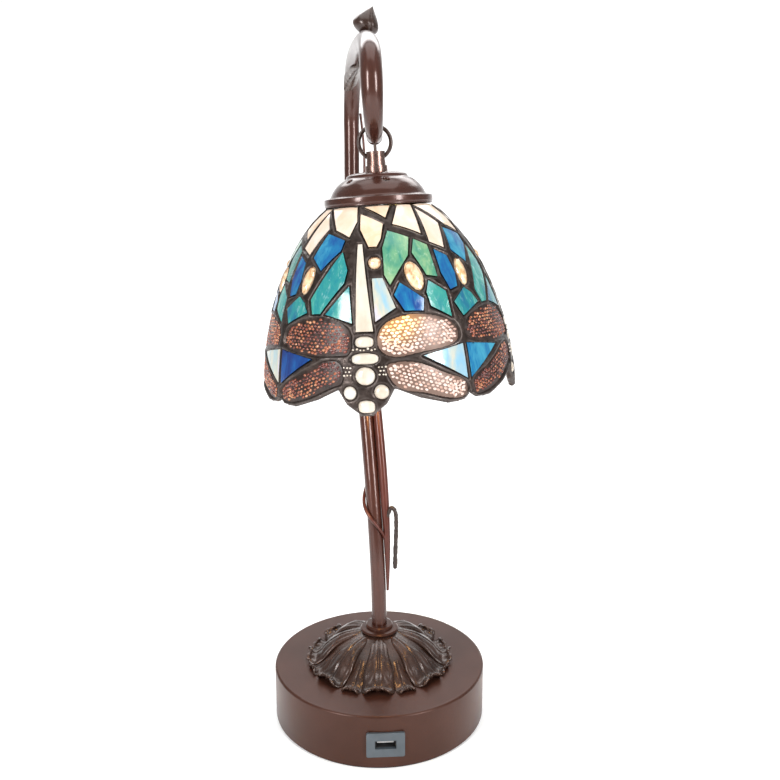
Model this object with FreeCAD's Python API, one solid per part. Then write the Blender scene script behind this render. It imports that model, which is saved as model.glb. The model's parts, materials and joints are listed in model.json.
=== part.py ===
import FreeCAD, Part
import math
import os

from FreeCAD import Vector

# Hanging-shade table lamp with a leaded dragonfly glass shade.
# Units are millimetres. +Z is up, the origin is the centre of the base's underside,
# and the shade hangs in front of the pole, towards -Y.

# Base
base_radius = 76.2
base_height = 38.0
base_wall = 2.0
base_edge_radius = 1.5
felt_thickness = 1.5
plate_thickness = 1.5
plate_radius = base_radius - base_wall - 0.4
screw_circle = 62.0
screw_radius = 1.7
weight_radius = 56.0
weight_thickness = 9.0
washer_thickness = 1.2
nut_height = 5.0
cord_height = 12.0
cord_radius = 3.0
bushing_radius = 5.0

# USB charging port, set in the base wall a little to the right of centre
port_turn = 3.7
port_height = 18.4
bezel_width = 25.3
bezel_tall = 17.2
bezel_proud = 1.2
port_depth = 14.0
slot_width = 14.0
slot_tall = 5.8
plug_shell_width = 13.1
plug_shell_tall = 5.0

# Pole, collar and leaf rosette
pole_radius = 5.5
pole_bore = 4.0
lean_start = 60.0
lean_end = 386.0
pole_lean = Vector(-20.0, 60.0, 0.0)
pole_foot = 16.0
rosette_radius = 49.0
rosette_top = 60.5
leaf_count = 8
collar_radius = 14.0
collar_top = 65.5
vine_foot = 91.0
vine_top = 430.0
twig_radius = 1.25

# Arm that arches over and ends in a hook
arm_radius = 6.0
arm_start_radius = 5.5
hook_low_radius = 4.3
hook_seat_radius = 4.5
hook_seat_length = 2.4
hook_tip_radius = 3.6
arm_bore = 2.9
back_bend_radius = 32.0
back_bend_end = 80.0
hook_bend_start = 110.0
hook_bend_end = 322.0
hook_bend_radius = 23.0
hook_low_height = 399.1

# Hanging parts. They hang slightly out of plumb, by hang_tilt degrees in the lamp's front plane.
shade_axis = Vector(-0.8, -85.0, 0.0)
hang_tilt = 3.4
ring_wire_radius = 1.1
ring_radius = 8.9
ring_clearance = 0.15
eye_radius = 1.8
shade_cord_radius = 1.1
neck_radius = 5.3
neck_top = 391.0
neck_base = 383.3
lip_radius = 6.2
cap_top = 380.0
flange_radius = 30.5
flange_top = 366.6
flange_bottom = 361.8
vent_count = 6
vent_radius = 1.6

# Glass shade: an eased dome, four equal sectors with one dragonfly each
sector_count = 4
front_turn = -9.0
rim_radius = 72.2
dome_foot = 257.0
dome_rise = 114.6
dome_fullness = 1.8
shade_top = 361.0
came_outside = 1.0
came_inside = 2.8
glass_outside = 0.0
glass_inside = 2.4
filigree_thickness = 0.7
pane_growth = 0.55

# Lampholder and bulb
nipple_radius = 4.8
holder_radius = 11.0
holder_top = 357.0
holder_bottom = 322.0
bulb_radius = 17.5
bulb_centre = 295.0


def export(name, shape):
    """Write one named piece."""
    shape.exportStep(os.path.join("parts", name + ".step"))


def revolve(outline):
    """Solid of revolution about +Z from a closed outline of (radius, height) corners."""
    corners = [Vector(radius, 0, height) for radius, height in outline]
    face = Part.Face(Part.makePolygon(corners + corners[:1]))
    return face.revolve(Vector(0, 0, 0), Vector(0, 0, 1), 360)


def disc(radius, bottom, top, centre=Vector(0, 0, 0)):
    """Upright cylinder between two heights."""
    return Part.makeCylinder(radius, top - bottom, centre + Vector(0, 0, bottom))


def ring_disc(outer, inner, bottom, top, centre=Vector(0, 0, 0)):
    """Upright tube between two heights."""
    return disc(outer, bottom, top, centre).cut(disc(inner, bottom - 1, top + 1, centre))


def rod(path, radii):
    """Round rod through the points of a path, with one radius for each point."""
    sections = []
    last = len(path) - 1
    for index, point in enumerate(path):
        along = path[min(index + 1, last)] - path[max(index - 1, 0)]
        circle = Part.Circle(point, along, radii[index])
        sections.append(Part.Wire(circle.toShape()))
    return Part.makeLoft(sections, True, False)


def even_rod(path, radius):
    """Round rod of one thickness."""
    return rod(path, [radius] * len(path))


def smooth_path(corners, count):
    """Evenly spread points on a smooth curve through the corners."""
    curve = Part.BSplineCurve()
    curve.interpolate(corners)
    return curve.discretize(Number=count)


def polar(radius, degrees, height=0.0):
    """Point at a radius and angle. Angle 0 faces the front, -Y, and grows towards +X."""
    angle = math.radians(degrees)
    return Vector(radius * math.sin(angle), -radius * math.cos(angle), height)


def around(shape, count, start=0.0):
    """Copies of a shape at equal turns about +Z, as one group."""
    copies = []
    for index in range(count):
        copy = shape.copy()
        copy.rotate(Vector(0, 0, 0), Vector(0, 0, 1), start + index * 360.0 / count)
        copies.append(copy)
    return Part.makeCompound(copies)


def hexagon(radius, bottom, top):
    """Upright six-sided block, measured to its corners."""
    corners = [polar(radius, 60.0 * side, bottom) for side in range(7)]
    return Part.Face(Part.makePolygon(corners)).extrude(Vector(0, 0, top - bottom))


# ---------------------------------------------------------------- base

def turned_to_port(shape):
    """Turn a shape made at the front of the base round to the port."""
    shape.rotate(Vector(0, 0, 0), Vector(0, 0, 1), port_turn)
    return shape


def port_block(width, tall, front, back, height=port_height):
    """Box centred on the port, reaching from one distance off the base's axis to another."""
    corner = Vector(-width / 2, -front, height - tall / 2)
    return turned_to_port(Part.makeBox(width, front - back, tall, corner))


def rear_cylinder(radius, start, end):
    """Level cylinder along +Y at the height of the mains cord."""
    return Part.makeCylinder(radius, end - start, Vector(0, start, cord_height), Vector(0, 1, 0))


def base_drum():
    outer = disc(base_radius, felt_thickness, base_height)
    top_edge = [edge for edge in outer.Edges if edge.BoundBox.ZMin > base_height - 0.1]
    outer = outer.makeFillet(base_edge_radius, top_edge)
    drum = outer.cut(disc(base_radius - base_wall, 0, base_height - base_wall))
    drum = drum.cut(disc(pole_radius + 0.1, 0, base_height + 1))
    drum = drum.cut(port_block(bezel_width - 2, bezel_tall - 2, base_radius + 5, base_radius - 8))
    return drum.cut(rear_cylinder(bushing_radius - 1, base_radius - 8, base_radius + 5))


def bottom_plate():
    top = felt_thickness + plate_thickness
    plate = disc(plate_radius, felt_thickness, top)
    hole = disc(screw_radius + 0.1, 0, top + 1, Vector(screw_circle, 0, 0))
    return plate.cut(around(hole, 3, 90))


def plate_screws():
    top = felt_thickness + plate_thickness
    head = disc(3.2, top, top + 1.6)
    shank = disc(screw_radius, felt_thickness, top)
    screw = head.fuse(shank)
    screw.translate(Vector(screw_circle, 0, 0))
    return around(screw, 3, 90)


def base_weight():
    top = base_height - base_wall
    weight = disc(weight_radius, top - weight_thickness, top)
    return weight.cut(disc(pole_radius + 0.1, 0, base_height))


def pole_washer():
    top = base_height - base_wall - weight_thickness
    return ring_disc(2 * pole_radius, pole_radius + 0.1, top - washer_thickness, top)


def pole_nut():
    top = base_height - base_wall - weight_thickness - washer_thickness
    return hexagon(9.0, top - nut_height, top).cut(disc(pole_radius + 0.1, 0, base_height))


def cord_bushing():
    flange = rear_cylinder(bushing_radius + 1.5, base_radius, base_radius + 2.0)
    sleeve = rear_cylinder(bushing_radius - 1, base_radius - 6.0, base_radius + 6.0)
    return flange.fuse(sleeve).cut(rear_cylinder(cord_radius, 0, base_radius + 20))


def mains_cord():
    bend = 6.0
    outside = Vector(0, base_radius + 8.0, cord_height)
    corner = Vector(0, bend, cord_height)
    middle = Vector(0, bend * (1 - math.sin(math.pi / 4)), cord_height + bend * (1 - math.cos(math.pi / 4)))
    end = Vector(0, 0, cord_height + bend)
    run = Part.makeCylinder(cord_radius - 0.1, outside.y - corner.y, corner, Vector(0, 1, 0))
    path = Part.Wire(Part.Arc(corner, middle, end).toShape())
    circle = Part.Wire(Part.Circle(corner, Vector(0, 1, 0), cord_radius - 0.1).toShape())
    elbow = path.makePipeShell([circle], True, True)
    rise = disc(cord_radius - 0.1, end.z, 60.0)
    return run.fuse(elbow).fuse(rise).removeSplitter()


# ---------------------------------------------------------------- charging port

def usb_bezel():
    bezel = port_block(bezel_width, bezel_tall, base_radius + bezel_proud, base_radius - 0.4)
    edges = [edge for edge in bezel.Edges if edge.Length < bezel_proud + 1.0]
    bezel = bezel.makeFillet(1.2, edges)
    bezel = bezel.cut(disc(base_radius, 0, base_height))
    inner = port_block(bezel_width - 2.2, bezel_tall - 2.2, base_radius, base_radius - 6.0)
    return bezel.fuse(inner).cut(port_block(slot_width, slot_tall, base_radius + 5, 0))


def usb_shell():
    back = base_radius - port_depth
    sheet = 0.3
    tube = port_block(plug_shell_width, plug_shell_tall, base_radius - 0.6, back)
    hollow = port_block(plug_shell_width - 2 * sheet, plug_shell_tall - 2 * sheet, base_radius, back + sheet)
    return tube.cut(hollow)


def usb_tongue():
    height = port_height + 0.9
    return port_block(11.0, 1.7, base_radius - 1.6, base_radius - port_depth + 0.3, height)


def usb_contacts():
    bars = []
    for offset in (-3.5, -1.0, 1.0, 3.5):
        bar = Part.makeBox(1.0, 8.0, 0.15, Vector(offset - 0.5, -base_radius + 2.2, port_height - 0.1))
        bars.append(turned_to_port(bar))
    return Part.makeCompound(bars)


def usb_board():
    deck = port_height - plug_shell_tall / 2 - 1.6
    board = Part.makeBox(30.0, 26.0, 1.6, Vector(-15, -base_radius + 9.0, deck))
    return turned_to_port(board)


def usb_transformer():
    deck = port_height - plug_shell_tall / 2
    block = Part.makeBox(14.0, 11.0, 9.0, Vector(-7, -base_radius + 20.0, deck))
    return turned_to_port(block)


# ---------------------------------------------------------------- rosette, collar and pole

def rosette():
    dome = [(pole_radius + 0.1, base_height), (42, base_height), (43, 44), (36, 52), (24, 57.5),
            (16, rosette_top), (pole_radius + 0.1, rosette_top)]
    body = revolve(dome)
    for index in range(2 * leaf_count):
        reach = rosette_radius - 9.0 - 1.5 * (index % 2)
        tip = Part.makeSphere(9.0, polar(reach, index * 180.0 / leaf_count, base_height))
        body = body.fuse(tip)
    return body.cut(disc(2 * rosette_radius, 0, base_height)).cut(disc(pole_radius + 0.1, 0, 100))


def pole_collar():
    step = 62.8
    outline = [(pole_radius + 0.1, rosette_top), (collar_radius - 1, rosette_top), (collar_radius, step - 1),
               (collar_radius - 1, step), (9.8, step + 0.4), (9.8, collar_top - 0.8), (9.0, collar_top),
               (pole_radius + 0.1, collar_top)]
    return revolve(outline)


def pole_centre(height):
    """Centre of the pole at a height: it leans back and to the left in an eased curve."""
    share = (height - lean_start) / (lean_end - lean_start)
    share = min(max(share, 0.0), 1.0)
    return pole_lean * (share * share * (3 - 2 * share)) + Vector(0, 0, height)


def pole():
    bends = 12
    heights = [pole_foot, 38.0]
    heights += [lean_start + (lean_end - lean_start) * step / bends for step in range(bends + 1)]
    heights.append(pole_top)
    path = [pole_centre(height) for height in heights]
    longer = [path[0] - Vector(0, 0, 1)] + path[1:-1] + [path[-1] + Vector(0, 0, 1)]
    return even_rod(path, pole_radius).cut(even_rod(longer, pole_bore))


def beside_pole(height, degrees, gap):
    """Point beside the pole at a height, at a distance from its surface."""
    return pole_centre(height) + polar(pole_radius + gap, degrees)


def vine_stem():
    """Second, tapering stem that grows up beside the pole and stands a little off it near the top."""
    count = 18
    path = []
    radii = []
    for step in range(count + 1):
        share = step / count
        thickness = max(0.7 + 2.6 * math.sin(math.pi * min(share * 1.4, 1.0) ** 0.8), 0.9)
        height = vine_foot + (vine_top - vine_foot) * share
        off = 2.4 * math.sin(math.pi * max(share - 0.8, 0.0) / 0.2)
        turn = 78.0 - 26.0 * math.sin(math.pi * share) + 30.0 * share
        path.append(beside_pole(height, turn, thickness + 0.4 + off))
        radii.append(thickness)
    return rod(path, radii)


def tendril():
    """Thin vine that branches off the stem at the right and crosses the front of the pole once."""
    count = 16
    path = []
    radii = []
    for step in range(count + 1):
        share = step / count
        path.append(beside_pole(122.0 + 50.0 * share, 76.0 - 228.0 * share ** 2 * (3 - 2 * share), 1.5))
        radii.append(0.7 + 0.6 * math.sin(math.pi * share))
    return branch(rod(path, radii))


def twig():
    """Short hooked twig that grows out of the stem and hangs on the right of the pole."""
    start = beside_pole(140.0, 72.0, 3.0)
    hook = [Vector(1.4, -0.6, 7.0), Vector(4.0, -1.2, 12.0), Vector(6.8, -1.8, 8.0)]
    drop = [Vector(7.2, -2.2, -3.0), Vector(6.7, -2.8, -20.0), Vector(6.4, -3.2, -34.0)]
    corners = [start] + [start + step for step in hook + drop]
    count = 20
    radii = [twig_radius + 0.3 * step / count for step in range(count)]
    return branch(rod(smooth_path(corners, count), radii))


def branch(shape):
    """The part of a branch that stands clear of the stem it grows from."""
    return max(shape.cut(vine_stem()).Solids, key=lambda solid: solid.Volume)


# ---------------------------------------------------------------- arm and hook

def sine(degrees):
    return math.sin(math.radians(degrees))


def cosine(degrees):
    return math.cos(math.radians(degrees))


# Seen from the side the arm is three tangent arcs. A heading of 0 is straight up, 90 forward and 180 down.
pole_end = pole_centre(lean_end)
arm_reach = pole_end.y - shade_axis.y
back_run = back_bend_radius * (1 - cosine(back_bend_end))
hook_run = hook_bend_radius * cosine(hook_bend_start)
top_bend_radius = (arm_reach - back_run - hook_run) / (cosine(back_bend_end) - cosine(hook_bend_start))
back_rise = back_bend_radius * sine(back_bend_end)
top_drop = top_bend_radius * (sine(back_bend_end) - sine(hook_bend_start))
hook_drop = hook_bend_radius * (1 + sine(hook_bend_start))
bend_height = hook_low_height - back_rise + top_drop + hook_drop
pole_top = bend_height - 1.5
arm_start = pole_centre(pole_top)


def arm_point(heading):
    """Centre line of the arm where its heading has turned to this many degrees."""
    if heading <= back_bend_end:
        along = back_bend_radius * (1 - cosine(heading))
        height = bend_height + back_bend_radius * sine(heading)
    elif heading <= hook_bend_start:
        along = back_run + top_bend_radius * (cosine(back_bend_end) - cosine(heading))
        height = bend_height + back_rise + top_bend_radius * (sine(heading) - sine(back_bend_end))
    else:
        along = arm_reach - hook_bend_radius * cosine(heading)
        height = hook_low_height + hook_bend_radius * (1 + sine(heading))
    return Vector(arm_sideways(heading), arm_start.y - along, height)


def arm_length(heading):
    """Length of the arm's centre line, seen from the side, up to a heading."""
    back = back_bend_radius * min(heading, back_bend_end)
    top = top_bend_radius * (min(max(heading, back_bend_end), hook_bend_start) - back_bend_end)
    hook = hook_bend_radius * (max(heading, hook_bend_start) - hook_bend_start)
    return math.radians(back + top + hook)


def arm_sideways(heading):
    """X of the arm at a heading: it eases across from the leaning pole to the shade's axis."""
    share = arm_length(heading) / arm_length(270)
    return arm_start.x + (shade_axis.x - arm_start.x) * sine(90 * share) ** 1.5


def arm_skin(heading, turn, lift):
    """Point over the arm's surface: turned this many degrees to the right from its under side."""
    out = Vector(sine(turn), -cosine(turn) * cosine(heading), -cosine(turn) * sine(heading))
    return arm_point(heading) + out * (arm_thickness(heading) + lift)


def arm_thickness(heading):
    """Outer radius: swells out of the pole, is full to the front of the hook, then tapers to the tip."""
    if heading <= back_bend_end:
        return arm_start_radius + (arm_radius - arm_start_radius) * heading / back_bend_end
    if heading <= 180:
        return arm_radius
    if heading <= 270:
        return arm_radius + (hook_low_radius - arm_radius) * (heading - 180) / 90
    return hook_low_radius + (hook_tip_radius - hook_low_radius) * (heading - 270) / (hook_bend_end - 270)


def arm_headings():
    back = [20 * step for step in range(5)]
    front = [130 + 20 * step for step in range(8)]
    return back + [90, 100, hook_bend_start] + front + [288, 305, hook_bend_end]


def arm():
    headings = arm_headings()
    path = [arm_start] + [arm_point(heading) for heading in headings]
    radii = [arm_start_radius] + [arm_thickness(heading) for heading in headings]
    bore_path = [arm_start - Vector(0, 0, 1)] + path[1:-3]
    outlet = Part.makeCylinder(2.4, 7.0, cord_drop(hook_low_height), Vector(0, 0, -1))
    return rod(path, radii).fuse(hook_seat()).cut(even_rod(bore_path, arm_bore)).cut(outlet)


def hook_seat():
    """Round band at the bottom of the hook that the suspension ring rocks on."""
    start = hook_low_point - Vector(0, hook_seat_length / 2, 0)
    return Part.makeCylinder(hook_seat_radius, hook_seat_length, start, Vector(0, 1, 0))


def arm_leaf():
    """Leaf that wraps the under side of the arm's back bend, from its left to its right."""
    corners = [arm_skin(46, -55, 0.4), arm_skin(60, -25, 0.4), arm_skin(74, 5, 0.4), arm_skin(84, 40, 0.4)]
    return rod(corners, [0.8, 2.6, 2.4, 0.5]).cut(arm_envelope(0.1))


def arm_envelope(extra):
    """The back and top of the arm, a little larger, for clearances."""
    headings = arm_headings()[:9]
    path = [arm_start] + [arm_point(heading) for heading in headings]
    return rod(path, [arm_start_radius + extra] + [arm_thickness(heading) + extra for heading in headings])


def finial():
    """Leaf bud on the crown of the arm, leaning to the right."""
    seat = arm_point(98.0) + Vector(0, 0, arm_radius - 0.8)
    outline = [(0, -4.0), (1.6, -4.0), (1.6, 0.8), (5.2, 2.6), (7.5, 5.8), (7.0, 9.0), (4.6, 13.2),
               (1.8, 16.6), (0, 18.4)]
    bud = revolve(outline)
    bud.rotate(Vector(0, 0, 0), Vector(0, 1, 0), 21)
    bud.translate(seat)
    return bud


# ---------------------------------------------------------------- hanging parts

hook_low_point = Vector(shade_axis.x, shade_axis.y, hook_low_height)
ring_centre_height = hook_low_height + hook_seat_radius + ring_clearance + ring_wire_radius - ring_radius
ring_low_height = ring_centre_height - ring_radius


def cord_drop(height):
    """Where the shade's cord runs, just in front of the suspension ring."""
    return Vector(shade_axis.x, shade_axis.y - 3.0, height)


def hang(shape):
    """Tip a hanging piece out of plumb about the hook."""
    shape.rotate(hook_low_point, Vector(0, 1, 0), -hang_tilt)
    return shape


def on_axis(shape):
    """Move a piece made about the Z axis on to the shade's axis, and hang it."""
    shape.translate(shade_axis)
    return hang(shape)


def ring_torus(wire_radius):
    centre = Vector(shade_axis.x, shade_axis.y, ring_centre_height)
    return Part.makeTorus(ring_radius, wire_radius, centre, Vector(0, 1, 0))


def suspension_ring():
    return hang(ring_torus(ring_wire_radius))


def shade_cord():
    top = hook_low_height - 1.5
    bottom = ring_low_height + 1.0
    return hang(Part.makeCylinder(shade_cord_radius, top - bottom, cord_drop(bottom)))


def eye_bore():
    """Straight bore through the neck, on the line that the shade tilts about."""
    start = Vector(shade_axis.x - neck_radius, shade_axis.y, ring_low_height)
    return Part.makeCylinder(eye_radius, 2 * neck_radius, start, Vector(1, 0, 0))


def neck():
    lip = [(0, neck_base - 3.3), (lip_radius, neck_base - 3.3), (lip_radius, neck_base)]
    barrel = [(neck_radius, neck_base), (neck_radius, neck_top), (0, neck_top)]
    body = revolve(lip + barrel)
    body.translate(shade_axis)
    body = body.cut(ring_torus(eye_radius)).cut(eye_bore())
    body = body.cut(Part.makeCylinder(2.0, 6.0, cord_drop(neck_top - 5.0)))
    return hang(body)


def cap():
    wall = 1.2
    outside = [(nipple_radius, cap_top), (9.5, cap_top - 0.4), (16.0, cap_top - 2.2), (21.5, cap_top - 5.6),
               (25.5, cap_top - 9.8), (27.4, flange_top), (flange_radius - 0.6, flange_top),
               (flange_radius, flange_top - 0.8), (flange_radius, flange_bottom)]
    inside = [(flange_radius - wall, flange_bottom), (flange_radius - wall, flange_top - wall),
              (26.2, flange_top - wall), (24.4, cap_top - 10.4), (20.7, cap_top - 6.6),
              (15.6, cap_top - 3.4), (9.3, cap_top - 1.6),
              (nipple_radius, cap_top - wall)]
    dome = revolve(outside + inside)
    vent = Part.makeCylinder(vent_radius, 12.0, polar(18.0, 0, cap_top - 12.0), polar(0.35, 0, 1.0))
    return on_axis(dome.cut(around(vent, vent_count, 14.0)))


def nipple():
    return on_axis(ring_disc(nipple_radius, 3.0, holder_top, cap_top))


def cap_nut():
    top = cap_top - 2.0
    return on_axis(hexagon(8.0, top - 3.0, top).cut(disc(nipple_radius, 0, cap_top)))


def shade_spider():
    """Brass ring with three spokes that the shade's top edge is soldered to."""
    outer = dome_radius(shade_top) - came_inside - 0.1
    bottom = shade_top - 3.0
    spider = ring_disc(outer, outer - 2.0, bottom, shade_top)
    spoke = Part.makeBox(3.0, outer - 1.0, 1.5, Vector(-1.5, 0, shade_top - 1.5))
    spider = spider.fuse(list(around(spoke, 3).Solids))
    spider = spider.fuse(disc(9.0, shade_top - 1.5, shade_top))
    return on_axis(spider.cut(disc(nipple_radius, 0, cap_top)).removeSplitter())


# ---------------------------------------------------------------- glass shade

def dome_radius(height):
    """Radius of the shade's glass face at a height."""
    share = max(height - dome_foot, 0.0) / dome_rise
    return rim_radius * math.sqrt(1 - share ** dome_fullness)


def dome_point(degrees, height):
    return polar(dome_radius(height), degrees, height)


def dome_normal(degrees, height):
    """Outward normal of the glass face."""
    step = 0.5
    slope = (dome_radius(height + step) - dome_radius(height - step)) / (2 * step)
    return polar(1.0, degrees, -slope).normalize()


def dome_shell(outside, inside, bottom, top):
    """Shell of revolution that follows the glass face between two offsets."""
    steps = 8
    heights = [bottom + (top - bottom) * step / steps for step in range(steps + 1)]
    outer = [Vector(dome_radius(height) + outside, 0, height) for height in heights]
    inner = [Vector(dome_radius(height) - inside, 0, height) for height in heights]
    outer_curve = Part.BSplineCurve()
    outer_curve.interpolate(outer)
    inner_curve = Part.BSplineCurve()
    inner_curve.interpolate(inner)
    edges = [outer_curve.toShape(), Part.makeLine(outer[-1], inner[-1]),
             inner_curve.toShape(), Part.makeLine(inner[0], outer[0])]
    face = Part.Face(Part.Wire(Part.__sortEdges__(edges)))
    return face.revolve(Vector(0, 0, 0), Vector(0, 0, 1), 360)


def flattened(outline):
    """Outline points of (angle, height) moved on to one plane that faces out of the dome."""
    middle_angle = sum(angle for angle, height in outline) / len(outline)
    middle_height = sum(height for angle, height in outline) / len(outline)
    centre = dome_point(middle_angle, middle_height)
    normal = dome_normal(middle_angle, middle_height)
    points = []
    for angle, height in outline:
        point = dome_point(angle, height)
        points.append(point - normal * (point - centre).dot(normal))
    return points, normal


def window(face, normal):
    """Prism through the shade's wall behind a flat face."""
    depth = 9.0
    face.translate(normal * depth * 0.6)
    return face.extrude(normal * -2 * depth)


def pane_window(outline):
    points, normal = flattened(outline)
    return window(Part.Face(Part.makePolygon(points + points[:1])), normal)


def glass_window(outline):
    """Window for a pane: its outline grown a little all round, as the solder covers the pane's edge."""
    points, normal = flattened(outline)
    face = Part.Face(Part.makePolygon(points + points[:1]))
    sharp_corners = 2
    return window(face.makeOffset2D(pane_growth, sharp_corners), normal)


def curved_window(outline):
    points, normal = flattened(outline)
    curve = Part.BSplineCurve()
    curve.interpolate(points, PeriodicFlag=True)
    return window(Part.Face(Part.Wire(curve.toShape())), normal)


def oval_window(angle, height, half_width, half_tall, lean=0.0):
    """Oval prism. Lean tips its long axis towards a larger angle at the top."""
    centre = dome_point(angle, height)
    normal = dome_normal(angle, height)
    across = polar(1.0, angle + 90).normalize()
    upward = normal.cross(across)
    if upward.z < 0:
        upward = upward * -1
    long_axis = upward * cosine(lean) + across * sine(lean)
    short_axis = normal.cross(long_axis)
    if half_tall == half_width:
        curve = Part.Circle(centre, normal, half_width)
    elif half_tall > half_width:
        curve = Part.Ellipse(centre + long_axis * half_tall, centre + short_axis * half_width, centre)
    else:
        curve = Part.Ellipse(centre + short_axis * half_width, centre + long_axis * half_tall, centre)
    return window(Part.Face(Part.Wire(curve.toShape())), normal)


# One sector of the glass. Corners are (angle from the dragonfly's body, height).
cream_outlines = [
    [(-44, 357.5), (-32, 350), (-40, 338), (-48, 341)],
    [(-41, 360.0), (-13, 360.0), (-9, 353), (-12, 346), (-23, 349.5)],
    [(-5.5, 356), (11, 351), (9, 344), (6.5, 340.5), (2.5, 340.5), (-3.8, 349)],
    [(-2, 360.0), (19, 360.0), (14, 355)],
    [(29, 360.0), (42, 360.0), (37, 346), (20, 351)],
]
blue_outlines = [
    [(-29, 347), (-15, 343.5), (-16, 339), (-26, 330), (-34, 336)],
    [(-47.5, 336), (-41, 333), (-40, 324), (-41.5, 318), (-45.5, 317), (-48, 325)],
    [(18, 321), (28, 313), (27, 308), (19, 308.5), (15, 316)],
    [(-43.5, 288.5), (-26, 285.3), (-43.5, 272.5)],
]
teal_outlines = [
    [(-14, 337), (-10, 329), (-11, 323), (-22, 308.6), (-26, 308.4), (-28, 315)],
    [(-45, 310), (-37, 316), (-33, 313), (-30.5, 308.8), (-42, 303.4)],
    [(33, 321), (40.5, 315.5), (40.5, 304), (32, 309.5), (31, 316)],
    [(-8, 320), (-6, 304), (-18, 308)],
]
green_outlines = [
    [(15, 347), (27, 343.5), (24, 335), (13, 322), (11, 326), (11, 339)],
    [(31, 342), (38, 339), (38, 324), (33, 325), (28, 336)],
]
pearl_outlines = [
    [(4.6, 324), (9, 324), (14, 310), (5.6, 304.5)],
    [(26, 285.3), (43.5, 288.5), (43.5, 272.5)],
]
tail_outlines = [[(-4.8, 341.5), (-3.6, 299), (4, 299), (-2, 341.5)]]
upper_wing = [(6, 295), (9, 302), (18, 306), (33, 304.5), (42, 298), (42, 293), (34, 289), (22, 287.5),
              (9, 288)]
lower_wing = [(11, 283), (23, 282), (35, 275), (43, 268.5), (43, 264.5), (35, 263), (22, 268), (12, 273)]


def mirrored(outline):
    """The same outline on the other side of the dragonfly's body."""
    return [(-angle, height) for angle, height in reversed(outline)]


wing_outlines = [upper_wing, mirrored(upper_wing), lower_wing, mirrored(lower_wing)]
bead_ovals = [(0, 294.2, 4.6, 2.7, 0), (0, 286.0, 6.6, 2.7, 0), (0, 277.3, 5.0, 4.4, 0),
              (-6.6, 269.0, 3.3, 3.3, 0), (6.4, 269.2, 3.6, 3.6, 0), (0, 261.9, 4.2, 3.2, 0)]
jewel_ovals = [(-34, 325, 3.6, 7.6, 8), (5.5, 332.5, 3.2, 3.2, 0), (26, 325, 4.3, 7.9, -14)]
rim_right = [(3, 250), (3, 257.8), (8.5, 263), (12, 270.5), (22, 264.8), (34, 260.2), (41, 260.6),
             (45.5, 264.5), (45.5, 250)]


def sectors(prisms):
    """All copies of one sector's prisms round the shade."""
    turned = []
    for prism in prisms:
        turned += around(prism, sector_count, front_turn).Solids
    return turned


def glass_windows():
    """Every opening in the came, by the piece that fills it."""
    return {
        "cream_panes": [glass_window(outline) for outline in cream_outlines],
        "blue_panes": [glass_window(outline) for outline in blue_outlines],
        "teal_panes": [glass_window(outline) for outline in teal_outlines],
        "green_panes": [glass_window(outline) for outline in green_outlines],
        "pearl_panes": [glass_window(outline) for outline in pearl_outlines],
        "tail_panes": [pane_window(outline) for outline in tail_outlines],
        "wing_panes": [curved_window(outline) for outline in wing_outlines],
        "body_beads": [oval_window(*oval) for oval in bead_ovals],
        "amber_jewels": [oval_window(*oval) for oval in jewel_ovals],
    }


def filled(prisms, outside, inside):
    """The pieces that fill a sector's prisms, copied round the shade."""
    shell = dome_shell(outside, inside, dome_foot, shade_top)
    pieces = []
    for prism in prisms:
        pieces += around(outer_part(shell.common(prism), prism), sector_count, front_turn).Solids
    return Part.makeCompound(pieces)


def outer_part(shape, prism):
    """The solid of a cut that lies on the prism's own side of the shade."""
    solids = sorted(shape.Solids, key=lambda solid: (solid.CenterOfMass - prism.CenterOfMass).Length)
    return solids[0]


def came(windows):
    """Leaded lattice that holds the glass, cut out of the dome."""
    shell = dome_shell(came_outside, came_inside, dome_foot, shade_top)
    rims = [pane_window(rim_right), pane_window(mirrored(rim_right))]
    cutters = sectors(rims)
    for prisms in windows.values():
        cutters += sectors(prisms)
    return shell.cut(cutters)


# ---------------------------------------------------------------- lampholder and bulb

def lampholder():
    outline = [(0, holder_top), (5.5, holder_top), (holder_radius, holder_top - 5.0),
               (holder_radius, holder_bottom), (8.2, holder_bottom), (8.2, holder_top - 18.0),
               (0, holder_top - 18.0)]
    body = revolve(outline)
    body = body.cut(key_cylinder(1.9, 4.0, holder_radius + 2))
    return on_axis(body)


def key_cylinder(radius, start, end):
    """Level cylinder on the key's axis, measured out from the shade's axis."""
    return Part.makeCylinder(radius, end - start, Vector(start, 0, holder_top - 12.0), Vector(1, 0, 0))


def switch_key():
    shaft = key_cylinder(1.8, 4.2, holder_radius + 4)
    knob = key_cylinder(4.5, holder_radius + 3, holder_radius + 10)
    return on_axis(shaft.fuse(knob))


def bulb_base():
    return on_axis(ring_disc(6.2, 5.2, holder_bottom - 6.0, holder_top - 19.0))


def bulb_glass():
    join = holder_bottom - 6.0
    outline = [(0, bulb_centre - bulb_radius), (9.5, bulb_centre - 14.6),
               (bulb_radius - 1.4, bulb_centre - 7.0), (bulb_radius, bulb_centre),
               (bulb_radius - 2.2, bulb_centre + 9.0), (9.5, bulb_centre + 16.0), (6.2, join), (0, join)]
    return on_axis(revolve(outline))


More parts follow.
